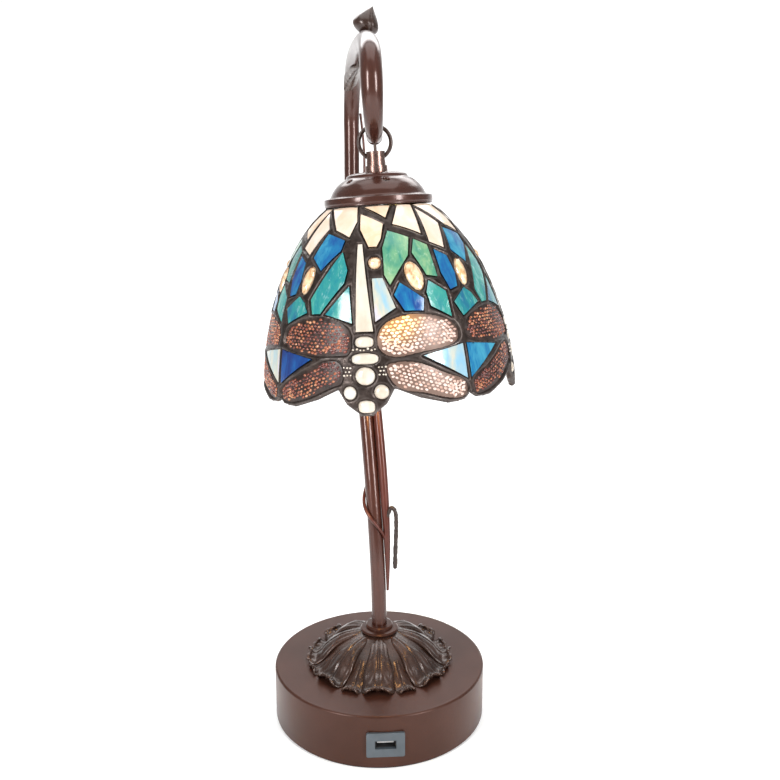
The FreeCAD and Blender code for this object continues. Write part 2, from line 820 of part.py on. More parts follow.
def build_all():
    os.makedirs("parts", exist_ok=True)
    bud = finial()
    pieces = {
        "base_drum": base_drum(),
        "base_weight": base_weight(),
        "bottom_plate": bottom_plate(),
        "felt_pad": disc(plate_radius + 1.0, 0, felt_thickness),
        "plate_screws": plate_screws(),
        "pole_nut": pole_nut(),
        "pole_washer": pole_washer(),
        "cord_bushing": cord_bushing(),
        "mains_cord": mains_cord(),
        "usb_bezel": usb_bezel(),
        "usb_shell": usb_shell(),
        "usb_tongue": usb_tongue(),
        "usb_contacts": usb_contacts(),
        "usb_board": usb_board(),
        "usb_transformer": usb_transformer(),
        "leaf_rosette": rosette(),
        "pole_collar": pole_collar(),
        "pole": pole(),
        "vine_stem": vine_stem(),
        "tendril": tendril(),
        "twig": twig(),
        "arm": arm().cut(bud),
        "arm_leaf": arm_leaf(),
        "finial": bud,
        "suspension_ring": suspension_ring(),
        "shade_cord": shade_cord(),
        "neck": neck(),
        "cap": cap(),
        "cap_nut": cap_nut(),
        "nipple": nipple(),
        "shade_spider": shade_spider(),
        "lampholder": lampholder(),
        "switch_key": switch_key(),
        "bulb_base": bulb_base(),
        "bulb_glass": bulb_glass(),
    }
    windows = glass_windows()
    for name, prisms in windows.items():
        pieces[name] = on_axis(filled(prisms, glass_outside, glass_inside))
    pieces["wing_filigree"] = on_axis(filled(windows["wing_panes"], filigree_thickness, 0.0))
    pieces["came"] = on_axis(came(windows))
    for name, shape in pieces.items():
        export(name, shape)


build_all()
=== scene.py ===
import json
import math

import bmesh
import bpy
import numpy as np
from mathutils import Matrix, Vector, noise
from mathutils.bvhtree import BVHTree
from mathutils.kdtree import KDTree


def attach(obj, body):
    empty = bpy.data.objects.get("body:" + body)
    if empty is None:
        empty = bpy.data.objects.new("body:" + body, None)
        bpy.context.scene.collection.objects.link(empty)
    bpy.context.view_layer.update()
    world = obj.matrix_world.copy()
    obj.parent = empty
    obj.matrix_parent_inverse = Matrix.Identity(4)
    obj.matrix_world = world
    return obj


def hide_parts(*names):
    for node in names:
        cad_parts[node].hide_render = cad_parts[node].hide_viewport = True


# The looks of a hanging-shade table lamp, built round its CAD frame. Metres, +Z up.

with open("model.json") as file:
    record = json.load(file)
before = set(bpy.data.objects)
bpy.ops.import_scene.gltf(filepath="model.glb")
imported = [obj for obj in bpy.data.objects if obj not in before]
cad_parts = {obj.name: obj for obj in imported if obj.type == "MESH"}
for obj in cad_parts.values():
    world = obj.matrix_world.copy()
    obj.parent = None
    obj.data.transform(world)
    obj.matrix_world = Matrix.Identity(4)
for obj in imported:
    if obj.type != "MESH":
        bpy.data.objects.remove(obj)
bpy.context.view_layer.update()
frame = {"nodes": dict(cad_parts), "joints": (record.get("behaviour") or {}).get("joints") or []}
nodes = frame["nodes"]
joints = {joint["name"]: joint for joint in frame["joints"]}

MM = 0.001

# ---------------------------------------------------------------- places read from the frame

hook_point = Vector(joints["ring_swing"]["pos_m"])
tilt_axis = Vector(joints["shade_tilt"]["axis"])
hang_tilt = math.atan2(tilt_axis.z, tilt_axis.x)
shade_axis = Vector((hook_point.x, hook_point.y, 0.0))

# From a hanging piece's own frame (its axis upright at x = y = 0, z as built) to the lamp's frame
hang_matrix = (Matrix.Translation(hook_point) @ Matrix.Rotation(-hang_tilt, 4, "Y")
               @ Matrix.Translation(-hook_point) @ Matrix.Translation(shade_axis))
hang_inverse = hang_matrix.inverted()

# The shade's glass face: radius = rim * sqrt(1 - ((height - foot) / rise) ** fullness)
rim_radius = 72.2 * MM
dome_foot = 257.0 * MM
dome_rise = 114.6 * MM
dome_fullness = 1.8
shade_top = 361.0 * MM
sector_count = 4
front_turn = -9.0
glass_depth = 2.4 * MM
seed = 7
noise.seed_set(seed)

sheet_panes = ("cream_panes", "blue_panes", "teal_panes", "green_panes", "pearl_panes", "tail_panes")
all_panes = sheet_panes + ("wing_panes", "body_beads", "amber_jewels")


# ---------------------------------------------------------------- mesh helpers

def linked(name, data):
    """A new object for some data, in the scene."""
    made = bpy.data.objects.new(name, data)
    bpy.context.scene.collection.objects.link(made)
    return made


def mesh_object(name, points, faces, smooth=True):
    mesh = bpy.data.meshes.new(name)
    mesh.from_pydata([tuple(point) for point in points], [], faces)
    mesh.validate()
    mesh.update()
    if smooth:
        mesh.shade_smooth()
    return linked(name, mesh)


def finish_hung(name, points, faces, material, replaced=(), smooth=True):
    """A piece of the shade, from points in the shade's own frame."""
    piece = mesh_object(name, [hang_matrix @ point for point in points], faces, smooth)
    return finish_piece(piece, "shade", material, replaced)


def finish_piece(piece, body, material, replaced=()):
    """Material, body and the CAD nodes that a piece stands for."""
    piece.data.materials.clear()
    piece.data.materials.append(material)
    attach(piece, body)
    if replaced:
        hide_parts(*replaced)
    return piece


def ring_faces(rows, sides, first=0):
    """Quads between each ring of points and the next."""
    faces = []
    for row in range(rows - 1):
        low = first + row * sides
        for side in range(sides):
            following = (side + 1) % sides
            faces.append((low + side, low + following, low + sides + following, low + sides + side))
    return faces


def closed_ends(rows, sides):
    """The flat faces over the first ring and the last."""
    return [tuple(reversed(range(sides))), tuple(range((rows - 1) * sides, rows * sides))]


def lathe(name, outline, segments):
    """Surface of revolution about +Z from (radius, height) points in millimetres."""
    points = []
    for radius, height in outline:
        for step in range(segments):
            angle = 2 * math.pi * step / segments
            points.append(Vector((radius * math.sin(angle), -radius * math.cos(angle), height)) * MM)
    return mesh_object(name, points, ring_faces(len(outline), segments))


def rounded(outline, steps=3, share=0.3):
    """The outline with each inner corner replaced by a short curve."""
    result = [outline[0]]
    for before, corner, after in zip(outline, outline[1:], outline[2:]):
        before, corner, after = Vector(before), Vector(corner), Vector(after)
        start = corner.lerp(before, share)
        end = corner.lerp(after, share)
        for step in range(steps + 1):
            t = step / steps
            result.append(tuple(start.lerp(corner, t).lerp(corner.lerp(end, t), t)))
    result.append(outline[-1])
    return result


def tube(name, path, radii, sides):
    """Round tube with closed ends through a path of points, with its radius at each."""
    points = []
    across = path[1] - path[0]
    across = across.orthogonal().normalized()
    for index, point in enumerate(path):
        ahead = path[min(index + 1, len(path) - 1)] - path[max(index - 1, 0)]
        ahead.normalize()
        across = (across - ahead * across.dot(ahead)).normalized()
        upward = ahead.cross(across)
        for side in range(sides):
            angle = 2 * math.pi * side / sides
            points.append(point + (across * math.cos(angle) + upward * math.sin(angle)) * radii[index])
    return mesh_object(name, points, ring_faces(len(path), sides) + closed_ends(len(path), sides))


def applied(piece):
    """Makes a piece's modifiers part of its mesh."""
    evaluated = piece.evaluated_get(bpy.context.evaluated_depsgraph_get())
    mesh = bpy.data.meshes.new_from_object(evaluated)
    piece.modifiers.clear()
    piece.data = mesh


def welded(piece, distance):
    """Merges a mesh's doubled points and turns its faces outward."""
    shared = bmesh.new()
    shared.from_mesh(piece.data)
    bmesh.ops.remove_doubles(shared, verts=shared.verts, dist=distance)
    bmesh.ops.recalc_face_normals(shared, faces=shared.faces)
    shared.to_mesh(piece.data)
    shared.free()


def join(name, pieces):
    """One mesh object from several."""
    shared = bmesh.new()
    for piece in pieces:
        shared.from_mesh(piece.data)
        bpy.data.objects.remove(piece)
    mesh = bpy.data.meshes.new(name)
    shared.to_mesh(mesh)
    shared.free()
    mesh.shade_smooth()
    return linked(name, mesh)


def node_islands(name, matrix, fewest=1):
    """Vertices of each loose solid of a CAD node with enough of them, moved by a matrix, as arrays."""
    shared = bmesh.new()
    shared.from_mesh(nodes[name].data)
    bmesh.ops.remove_doubles(shared, verts=shared.verts, dist=1e-6)
    seen = set()
    islands = []
    for vertex in shared.verts:
        if vertex.index in seen:
            continue
        seen.add(vertex.index)
        stack = [vertex]
        found = []
        while stack:
            current = stack.pop()
            found.append(matrix @ current.co)
            for edge in current.link_edges:
                other = edge.other_vert(current)
                if other.index not in seen:
                    seen.add(other.index)
                    stack.append(other)
        if len(found) >= fewest:
            islands.append(np.array(found))
    shared.free()
    return islands


def node_tree(names, matrix):
    """Search tree over the faces of CAD nodes, moved by a matrix."""
    shared = bmesh.new()
    for name in names:
        shared.from_mesh(nodes[name].data)
    shared.transform(matrix)
    tree = BVHTree.FromBMesh(shared)
    shared.free()
    return tree


# ---------------------------------------------------------------- the dome's surface

def dome_radius(height):
    """Radius of the glass face at a height, or at each of several."""
    share = np.clip((np.asarray(height) - dome_foot) / dome_rise, 0.0, 0.999)
    return rim_radius * np.sqrt(1 - share ** dome_fullness)


def dome_frame(angle, height):
    """Point on the glass face, its outward normal, and the directions across and up the face."""
    step = 0.5 * MM
    slope = float(dome_radius(height + step) - dome_radius(height - step)) / (2 * step)
    radial = radial_way(angle)
    point = radial * float(dome_radius(height)) + Vector((0, 0, height))
    normal = (radial - Vector((0, 0, slope))).normalized()
    across = Vector((math.cos(angle), math.sin(angle), 0))
    return point, normal, across, normal.cross(across)


def radial_way(angle):
    """Level direction away from the shade's axis: angle 0 is the front."""
    return Vector((math.sin(angle), -math.cos(angle), 0))


def reach(found, limit):
    """Distance to what a search tree found, or the search's limit."""
    return found[3] if found[0] is not None else limit


# ---------------------------------------------------------------- shader helpers

def shader(name):
    material = bpy.data.materials.new(name)
    material.use_nodes = True
    tree = material.node_tree
    return material, tree, tree.nodes["Principled BSDF"]


def shader_node(tree, kind, settings=None, **values):
    """A node, with its settings and the values of its sockets (an underscore stands for a space)."""
    made = tree.nodes.new("ShaderNode" + kind)
    for key, value in (settings or {}).items():
        setattr(made, key, value)
    set_inputs(made, **values)
    return made


def set_inputs(made, **values):
    for key, value in values.items():
        made.inputs[key.replace("_", " ")].default_value = value


def plug(tree, value, socket):
    """Sets a socket to a number, or links another socket to it."""
    if isinstance(value, (int, float)):
        socket.default_value = value
    else:
        tree.links.new(value, socket)


def object_place(tree):
    return shader_node(tree, "TexCoord").outputs["Object"]


def random_per_island(tree):
    return shader_node(tree, "NewGeometry").outputs["Random Per Island"]


def facing_away(tree):
    """0 where a surface faces the eye, 1 at its outline."""
    return shader_node(tree, "LayerWeight", Blend=0.5).outputs["Facing"]


def cloud(tree, scale, detail=4.0, roughness=0.55, distortion=0.0, place=None):
    """Noise value over the surface. Scale is in cycles per metre."""
    made = shader_node(tree, "TexNoise", Scale=scale, Detail=detail, Roughness=roughness,
                       Distortion=distortion)
    tree.links.new(place or object_place(tree), made.inputs["Vector"])
    return made.outputs["Fac"]


def ramp(tree, value, stops):
    """Colours along a value, from (position, (r, g, b)) stops."""
    made = tree.nodes.new("ShaderNodeValToRGB")
    elements = made.color_ramp.elements
    while len(elements) < len(stops):
        elements.new(0.5)
    for element, (position, colour) in zip(elements, stops):
        element.position = position
        element.color = (*colour, 1.0)
    tree.links.new(value, made.inputs["Fac"])
    return made.outputs["Color"]


def span(tree, value, from_low, from_high, to_low, to_high):
    """A value moved from one range to another, and held within it."""
    made = shader_node(tree, "MapRange", From_Min=from_low, From_Max=from_high, To_Min=to_low,
                       To_Max=to_high)
    tree.links.new(value, made.inputs["Value"])
    return made.outputs["Result"]


def maths(tree, operation, first, second):
    made = shader_node(tree, "Math", {"operation": operation})
    plug(tree, first, made.inputs[0])
    plug(tree, second, made.inputs[1])
    return made.outputs["Value"]


def weighted(tree, parts, base=0.0):
    """A base plus each value times its weight."""
    total = base
    for value, weight in parts:
        total = maths(tree, "ADD", total, maths(tree, "MULTIPLY", value, weight))
    return total


def vector_maths(tree, operation, first, second=None):
    """A vector node. Each side is a socket or plain numbers."""
    made = shader_node(tree, "VectorMath", {"operation": operation})
    for index, value in enumerate((first, second)):
        if isinstance(value, tuple):
            made.inputs[index].default_value = value
        elif value is not None:
            tree.links.new(value, made.inputs[index])
    return made.outputs["Value" if operation == "DOT_PRODUCT" else "Vector"]


def mixed(tree, share, first, second):
    """Colour mix. Each colour is a socket or an (r, g, b)."""
    made = shader_node(tree, "Mix", {"data_type": "RGBA"})
    plug(tree, share, made.inputs["Factor"])
    for socket, value in (("A", first), ("B", second)):
        target = [item for item in made.inputs if item.name == socket and item.type == "RGBA"][0]
        if isinstance(value, tuple):
            target.default_value = (*value, 1.0)
        else:
            tree.links.new(value, target)
    return [item for item in made.outputs if item.type == "RGBA"][0]


def bump(tree, surface, value, strength, depth):
    made = shader_node(tree, "Bump", Strength=strength, Distance=depth)
    tree.links.new(value, made.inputs["Height"])
    tree.links.new(made.outputs["Normal"], surface.inputs["Normal"])


def pointiness(tree, low, high):
    """0 in hollows, 1 on edges."""
    value = shader_node(tree, "NewGeometry").outputs["Pointiness"]
    return span(tree, value, low, high, 0.0, 1.0)


def coated(tree, surface, colour, grain, smoothest, roughest, **values):
    """Wires the colour, the roughness that follows a noise value, and the plain values."""
    tree.links.new(colour, surface.inputs["Base Color"])
    tree.links.new(span(tree, grain, 0.3, 0.7, smoothest, roughest), surface.inputs["Roughness"])
    set_inputs(surface, **values)


def lit_coated(tree, surface, colour, glow, grain, smoothest, roughest, **values):
    """The same for glass, which also gives off its own colour."""
    coated(tree, surface, colour, grain, smoothest, roughest, **values)
    tree.links.new(colour, surface.inputs["Emission Color"])
    plug(tree, glow, surface.inputs["Emission Strength"])


def tinted(colour, tint):
    return tuple(part * share for part, share in zip(colour, tint))


# ---------------------------------------------------------------- materials

def painted_bronze(name, smoothest, roughest, warmth, coat):
    """Brown lacquer with a faint copper cast and soft mottling."""
    material, tree, surface = shader(name)
    broad = cloud(tree, 22.0, 3.0)
    fine = cloud(tree, 900.0, 3.0)
    colour = ramp(tree, broad, [(0.3, (0.043 * warmth, 0.0155, 0.0095)),
                                (0.55, (0.055 * warmth, 0.0205, 0.013)),
                                (0.75, (0.066 * warmth, 0.026, 0.0175))])
    colour = mixed(tree, span(tree, fine, 0.35, 0.7, 0.0, 0.22), colour, (0.030, 0.014, 0.011))
    coated(tree, surface, colour, broad, smoothest, roughest, Metallic=0.3, Specular_IOR_Level=0.3,
           Coat_Weight=coat, Coat_Roughness=0.14)
    bump(tree, surface, fine, 0.08, 0.0002)
    return material


def cast_bronze(name, tint=(1.0, 1.0, 1.0)):
    """Glossier lacquered casting, dark in the hollows, with a painted highlight that makes the high spots
    paler.
    """
    material, tree, surface = shader(name)
    blotch = cloud(tree, 60.0, 4.0)
    fine = cloud(tree, 700.0, 4.0)
    colour = ramp(tree, blotch, [(0.3, tinted((0.022, 0.011, 0.008), tint)),
                                 (0.7, tinted((0.052, 0.024, 0.016), tint))])
    # Painted highlight: the raised edges are made paler.
    painted_edge_highlight = pointiness(tree, 0.53, 0.7)
    colour = mixed(tree, painted_edge_highlight, colour, tinted((0.095, 0.052, 0.036), tint))
    hollow = maths(tree, "SUBTRACT", 1.0, pointiness(tree, 0.38, 0.49))
    colour = mixed(tree, hollow, colour, (0.012, 0.007, 0.006))
    coated(tree, surface, colour, fine, 0.24, 0.34, Metallic=0.3, Coat_Weight=0.25,
           Coat_Roughness=0.16)
    bump(tree, surface, maths(tree, "ADD", fine, blotch), 0.10, 0.0002)
    return material


def patina():
    """Dark chemical patina on hand-run solder, with a painted highlight that makes its ridges paler."""
    material, tree, surface = shader("dark_patina")
    blotch = cloud(tree, 160.0, 4.0)
    lumps = cloud(tree, 420.0, 3.0, distortion=0.6)
    colour = ramp(tree, blotch, [(0.32, (0.015, 0.0095, 0.0075)), (0.52, (0.030, 0.019, 0.015)),
                                 (0.75, (0.062, 0.047, 0.041))])
    # Painted highlight: the solder's ridges are made paler.
    colour = mixed(tree, pointiness(tree, 0.51, 0.64), colour, (0.17, 0.145, 0.135))
    coated(tree, surface, colour, lumps, 0.24, 0.5, Metallic=0.65)
    bump(tree, surface, lumps, 0.35, 0.0005)
    return material


def streaky_place(tree, island, lean):
    """A place that is drawn out along a leaning line, and starts elsewhere in each pane."""
    mapping = shader_node(tree, "Mapping", Rotation=(0.0, math.radians(lean), math.radians(lean)),
                          Scale=(4.2, 4.2, 0.9))
    tree.links.new(object_place(tree), mapping.inputs["Vector"])
    shift = shader_node(tree, "CombineXYZ")
    plug(tree, maths(tree, "MULTIPLY", island, 9.0), shift.inputs["X"])
    plug(tree, maths(tree, "MULTIPLY", island, 5.0), shift.inputs["Z"])
    return vector_maths(tree, "ADD", mapping.outputs["Vector"], shift.outputs["Vector"])


def opal_glass(name, stops, streak_lean, glow, whites=0.0):
    """Streaky opalescent sheet glass, softly lit from behind."""
    material, tree, surface = shader(name)
    island = random_per_island(tree)
    place = streaky_place(tree, island, streak_lean)
    streaks = cloud(tree, 26.0, 3.0, 0.5, 1.1, place)
    wisps = cloud(tree, 80.6, 4.0, 0.6, 1.6, place)
    value = weighted(tree, ((streaks, 0.72), (wisps, 0.18), (island, 0.26)), -0.13)
    colour = ramp(tree, span(tree, value, 0.28, 0.66, 0.0, 1.0), stops)
    if whites:
        milk = span(tree, wisps, 0.56, 0.75, 0.0, whites)
        colour = mixed(tree, milk, colour, (0.52, 0.66, 0.70))
    lit_coated(tree, surface, colour, glow, wisps, 0.08, 0.22, Specular_IOR_Level=0.5, Coat_Weight=0.3,
               Coat_Roughness=0.08)
    bump(tree, surface, cloud(tree, 110.0, 3.0, 0.5, 0.5), 0.25, 0.0009)
    return material


def bulb_hot_spot(tree, sharpness):
    """1 where the eye looks through the glass straight at the bulb, falling off round it."""
    geometry = shader_node(tree, "NewGeometry")
    toward = vector_maths(tree, "SUBTRACT", tuple(lit_point), geometry.outputs["Position"])
    unit = vector_maths(tree, "NORMALIZE", toward)
    facing = vector_maths(tree, "DOT_PRODUCT", unit, geometry.outputs["Incoming"])
    away = maths(tree, "MAXIMUM", maths(tree, "MULTIPLY", facing, -1.0), 0.0)
    return maths(tree, "POWER", away, sharpness)


def lit_side(tree):
    """1 on the right of the shade's front, where the glass behind is brightest, 0 elsewhere."""
    middle = (shade_axis.x, shade_axis.y, 280 * MM)
    turn = math.radians(16.0)
    outward = vector_maths(tree, "SUBTRACT", object_place(tree), middle)
    unit = vector_maths(tree, "NORMALIZE", outward)
    facing = vector_maths(tree, "DOT_PRODUCT", unit, (math.sin(turn), -math.cos(turn), 0.0))
    return span(tree, facing, 0.885, 0.92, 0.0, 1.0)


def wing_dot_glass():
    """Clear textured dots: wine red and amber, pale where light shows through."""
    material, tree, surface = shader("wing_dot_glass")
    island = random_per_island(tree)
    drift = cloud(tree, 70.0, 3.0)
    value = weighted(tree, ((drift, 0.8), (island, 0.3)))
    cool = ramp(tree, value, [(0.36, (0.055, 0.010, 0.010)), (0.5, (0.15, 0.030, 0.018)),
                              (0.62, (0.30, 0.085, 0.032)), (0.8, (0.50, 0.24, 0.12))])
    hot = ramp(tree, island, [(0.0, (1.0, 0.46, 0.11)), (0.5, (1.0, 0.66, 0.28)), (1.0, (1.0, 0.84, 0.52))])
    pale = ramp(tree, island, [(0.0, (0.44, 0.27, 0.21)), (0.5, (0.56, 0.40, 0.34)),
                               (1.0, (0.68, 0.54, 0.48))])
    side = lit_side(tree)
    wide = span(tree, bulb_hot_spot(tree, 14.0), 0.3, 0.95, 0.0, 0.8)
    tight = span(tree, bulb_hot_spot(tree, 60.0), 0.1, 0.9, 0.0, 1.0)
    colour = mixed(tree, wide, cool, (0.70, 0.33, 0.10))
    colour = mixed(tree, side, colour, pale)
    colour = mixed(tree, tight, colour, hot)
    glow = weighted(tree, ((wide, 0.4), (tight, 0.9), (side, 0.12)), 0.10)
    lit_coated(tree, surface, colour, glow, drift, 0.08, 0.18, Coat_Weight=0.4)
    bump(tree, surface, drift, 0.1, 0.0003)
    return material


def wing_net_glaze():
    """Brown net between the dots, with painted light: paler on the lit side, warm where the bulb is behind
    it, and a faint glow all over.
    """
    material, tree, surface = shader("wing_net")
    blotch = cloud(tree, 160.0, 4.0)
    colour = ramp(tree, blotch, [(0.35, (0.016, 0.008, 0.006)), (0.65, (0.040, 0.020, 0.015))])
    colour = mixed(tree, lit_side(tree), colour, (0.155, 0.095, 0.072))
    warm = span(tree, bulb_hot_spot(tree, 40.0), 0.2, 0.9, 0.0, 0.8)
    colour = mixed(tree, warm, colour, (0.50, 0.24, 0.08))
    lit_coated(tree, surface, colour, 0.15, blotch, 0.25, 0.45, Metallic=0.2)
    bump(tree, surface, blotch, 0.3, 0.0004)
    return material


def jewel_glass():
    """Amber faceted jewel: pale and bright in the middle, and dark at the edge, where painted shade darkens
    it as the surface turns from the eye.
    """
    material, tree, surface = shader("amber_glass")
    veins = cloud(tree, 190.0, 3.0, 0.5, 1.4)
    colour = ramp(tree, veins, [(0.3, (0.30, 0.12, 0.05)), (0.44, (0.60, 0.38, 0.22)),
                                (0.6, (0.74, 0.56, 0.38)), (0.78, (0.86, 0.74, 0.58))])
    # Painted shade: the jewel is darkened towards its outline as it turns away from the eye.
    rim = span(tree, facing_away(tree), 0.35, 0.75, 0.0, 0.9)
    colour = mixed(tree, rim, colour, (0.13, 0.04, 0.012))
    own = maths(tree, "MULTIPLY", random_per_island(tree), 0.12)
    colour = mixed(tree, own, colour, (0.95, 0.55, 0.12))
    lit_coated(tree, surface, colour, 0.16, veins, 0.04, 0.12, Coat_Weight=0.7)
    bump(tree, surface, veins, 0.3, 0.0006)
    return material


def plastic(name, low, high, roughness):
    """Moulded plastic with a fine spark texture."""
    material, tree, surface = shader(name)
    colour = ramp(tree, cloud(tree, 90.0, 3.0), [(0.3, low), (0.7, high)])
    grain = cloud(tree, 2600.0, 2.0)
    coated(tree, surface, colour, grain, roughness - 0.07, roughness + 0.07)
    bump(tree, surface, grain, 0.2, 0.0001)
    return material


def bare_metal(name, low, high, roughness):
    """Plain metal with fine grain and a little tarnish."""
    material, tree, surface = shader(name)
    colour = ramp(tree, cloud(tree, 140.0, 4.0), [(0.3, low), (0.7, high)])
    fine = cloud(tree, 1500.0, 3.0)
    coated(tree, surface, colour, fine, roughness - 0.08, roughness + 0.1, Metallic=1.0)
    bump(tree, surface, fine, 0.15, 0.0001)
    return material


def felt():
    """Matted black fibres."""
    material, tree, surface = shader("black_felt")
    fibres = cloud(tree, 2400.0, 6.0, 0.8, 2.0)
    colour = ramp(tree, fibres, [(0.3, (0.010, 0.010, 0.010)), (0.75, (0.060, 0.058, 0.055))])
    coated(tree, surface, colour, fibres, 0.9, 1.0)
    bump(tree, surface, fibres, 0.8, 0.0006)
    return material


def raw_casting():
    """Iron with the grain of its sand mould."""
    material, tree, surface = shader("cast_iron")
    sand = cloud(tree, 800.0, 5.0, 0.7)
    colour = ramp(tree, sand, [(0.3, (0.06, 0.06, 0.062)), (0.75, (0.17, 0.165, 0.16))])
    coated(tree, surface, colour, sand, 0.6, 0.85, Metallic=0.5)
    bump(tree, surface, sand, 0.6, 0.0005)
    return material


def lit_frost():
    """Frosted bulb, lit: hottest in the middle, cooler at the edge."""
    material, tree, surface = shader("bulb_frost")
    frosting = cloud(tree, 600.0, 3.0)
    colour = ramp(tree, facing_away(tree), [(0.0, (1.0, 0.86, 0.62)), (0.7, (1.0, 0.70, 0.36)),
                                            (1.0, (0.95, 0.52, 0.20))])
    glow = span(tree, frosting, 0.3, 0.7, 3.4, 4.2)
    lit_coated(tree, surface, colour, glow, frosting, 0.5, 0.65)
    bump(tree, surface, frosting, 0.1, 0.0002)
    return material


def floor_paper():
    """Pale paper, lifted a little so that it stays near white."""
    material, tree, surface = shader("floor_paper")
    tooth = cloud(tree, 60.0, 4.0)
    colour = ramp(tree, tooth, [(0.3, (0.86, 0.86, 0.86)), (0.7, (0.90, 0.90, 0.90))])
    lit_coated(tree, surface, colour, 0.25, tooth, 0.75, 0.9)
    bump(tree, surface, tooth, 0.05, 0.0005)
    return material


# The spot inside the shade that the eye sees as the bulb through the wings
lit_point = hang_matrix @ Vector((7 * MM, 0, 297 * MM))

paint = painted_bronze("bronze_paint", 0.28, 0.38, 1.0, 0.0)
gloss = painted_bronze("bronze_gloss", 0.2, 0.28, 1.15, 0.5)
stem_bronze = painted_bronze("stem_bronze", 0.26, 0.36, 1.5, 0.3)
casting = cast_bronze("cast_bronze")
# Painted shade: a darker, greyer copy of the cast bronze for the twig, which hangs in shadow beside the pole.
bark = cast_bronze("bark_bronze_painted_shade", (0.55, 0.60, 0.62))
# A paler, greyer copy of the cast bronze for the arm leaf: partly the leaf's greyer tone, partly painted
# light on a leaf lit from above.
grey_lit_leaf = cast_bronze("leaf_bronze_grey_and_lit", (1.9, 2.6, 3.0))
rose_bronze = bare_metal("rose_bronze", (0.19, 0.115, 0.095), (0.30, 0.205, 0.18), 0.28)
solder = patina()
brass = bare_metal("brass", (0.52, 0.36, 0.14), (0.74, 0.57, 0.27), 0.3)
zinc = bare_metal("zinc_steel", (0.48, 0.48, 0.47), (0.66, 0.66, 0.64), 0.34)
gilt = bare_metal("gilt_contact", (0.72, 0.52, 0.2), (0.86, 0.68, 0.34), 0.22)
slate = plastic("grey_plastic", (0.048, 0.062, 0.074), (0.066, 0.083, 0.098), 0.42)
tongue_white = plastic("tongue_white", (0.30, 0.30, 0.30), (0.42, 0.42, 0.42), 0.35)
black = plastic("black_plastic", (0.012, 0.012, 0.013), (0.025, 0.025, 0.026), 0.45)
board_green = plastic("green_board", (0.03, 0.18, 0.08), (0.05, 0.26, 0.12), 0.3)
cord_brown = plastic("brown_cord", (0.045, 0.026, 0.018), (0.075, 0.042, 0.03), 0.55)
cream = opal_glass("cream_glass", [(0.0, (0.62, 0.43, 0.27)), (0.35, (0.67, 0.51, 0.37)),
                                   (0.7, (0.69, 0.55, 0.44)), (1.0, (0.70, 0.59, 0.51))], 10, 0.06)
blue = opal_glass("blue_glass", [(0.0, (0.002, 0.022, 0.13)), (0.3, (0.003, 0.055, 0.22)),
                                 (0.62, (0.006, 0.13, 0.28)), (1.0, (0.04, 0.26, 0.38))], 35, 0.12)
teal = opal_glass("teal_glass", [(0.0, (0.008, 0.10, 0.19)), (0.3, (0.012, 0.18, 0.20)),
                                 (0.65, (0.035, 0.25, 0.21)), (1.0, (0.13, 0.33, 0.32))], 25, 0.13, 0.35)
green = opal_glass("green_glass", [(0.0, (0.010, 0.13, 0.14)), (0.35, (0.035, 0.20, 0.14)),
                                   (0.7, (0.12, 0.29, 0.16)), (1.0, (0.26, 0.38, 0.20))], 30, 0.12, 0.2)
pearl = opal_glass("pearl_glass", [(0.0, (0.20, 0.38, 0.50)), (0.35, (0.32, 0.40, 0.40)),
                                   (0.6, (0.46, 0.43, 0.34)), (0.8, (0.46, 0.43, 0.50)),
                                   (1.0, (0.62, 0.70, 0.82))], 40, 0.16)
white = opal_glass("white_glass", [(0.0, (0.50, 0.42, 0.33)), (0.5, (0.58, 0.52, 0.44)),
                                   (1.0, (0.64, 0.60, 0.54))], 5, 0.03)
dots = wing_dot_glass()
net = wing_net_glaze()
amber = jewel_glass()

finishes = [
    (paint, ("base_drum", "pole_collar")), (gloss, ("pole", "arm", "cap")), (bark, ("twig",)),
    (stem_bronze, ("vine_stem", "tendril")), (casting, ("leaf_rosette", "finial", "suspension_ring")),
    (grey_lit_leaf, ("arm_leaf",)), (rose_bronze, ("neck",)), (raw_casting(), ("base_weight",)),
    (zinc, ("bottom_plate", "plate_screws", "pole_nut", "pole_washer", "cap_nut", "nipple")),
    (brass, ("shade_spider", "lampholder", "bulb_base")), (gilt, ("usb_contacts",)), (felt(), ("felt_pad",)),
    # The usb_shell takes the black plastic: painted shade for the dark inside of the port, though the real
    # shell is bright metal.
    (black, ("cord_bushing", "usb_shell", "usb_transformer", "switch_key")), (slate, ("usb_bezel",)),
    (tongue_white, ("usb_tongue",)), (board_green, ("usb_board",)),
    (cord_brown, ("mains_cord", "shade_cord")),
    (solder, ("came", "wing_filigree")), (dots, ("wing_panes",)), (lit_frost(), ("bulb_glass",)),
    (white, ("tail_panes", "body_beads")), (cream, ("cream_panes",)), (blue, ("blue_panes",)),
    (teal, ("teal_panes",)), (green, ("green_panes",)), (pearl, ("pearl_panes",)), (amber, ("amber_jewels",)),
]
for finish, names in finishes:
    for node_name in names:
        nodes[node_name].data.materials.clear()
        nodes[node_name].data.materials.append(finish)


def grown(node_name, modifier_name, distance):
    """Moves a CAD part's skin outward by a small distance."""
    skin = nodes[node_name].modifiers.new(modifier_name, "DISPLACE")
    skin.mid_level = 0.0
    skin.strength = distance


# The cord is drawn a little thinner, so that it clears the neck while the shade tilts
grown("shade_cord", "drawn_thin", -0.25 * MM)

# Cut edges of the sheet glass run a little way under the came
for pane_node in sheet_panes:
    grown(pane_node, "under_the_came", 0.5 * MM)


# ---------------------------------------------------------------- leaded came

came_step = 0.6 * MM
came_rise = 1.05 * MM
came_overlap = -0.4 * MM
came_shoulder = 1.2 * MM
skirt_reach = 1.6 * MM
skirt_drop = 0.8 * MM
sunk_depth = 1.0 * MM
notch_top = 285 * MM
rim_band_top = 290 * MM


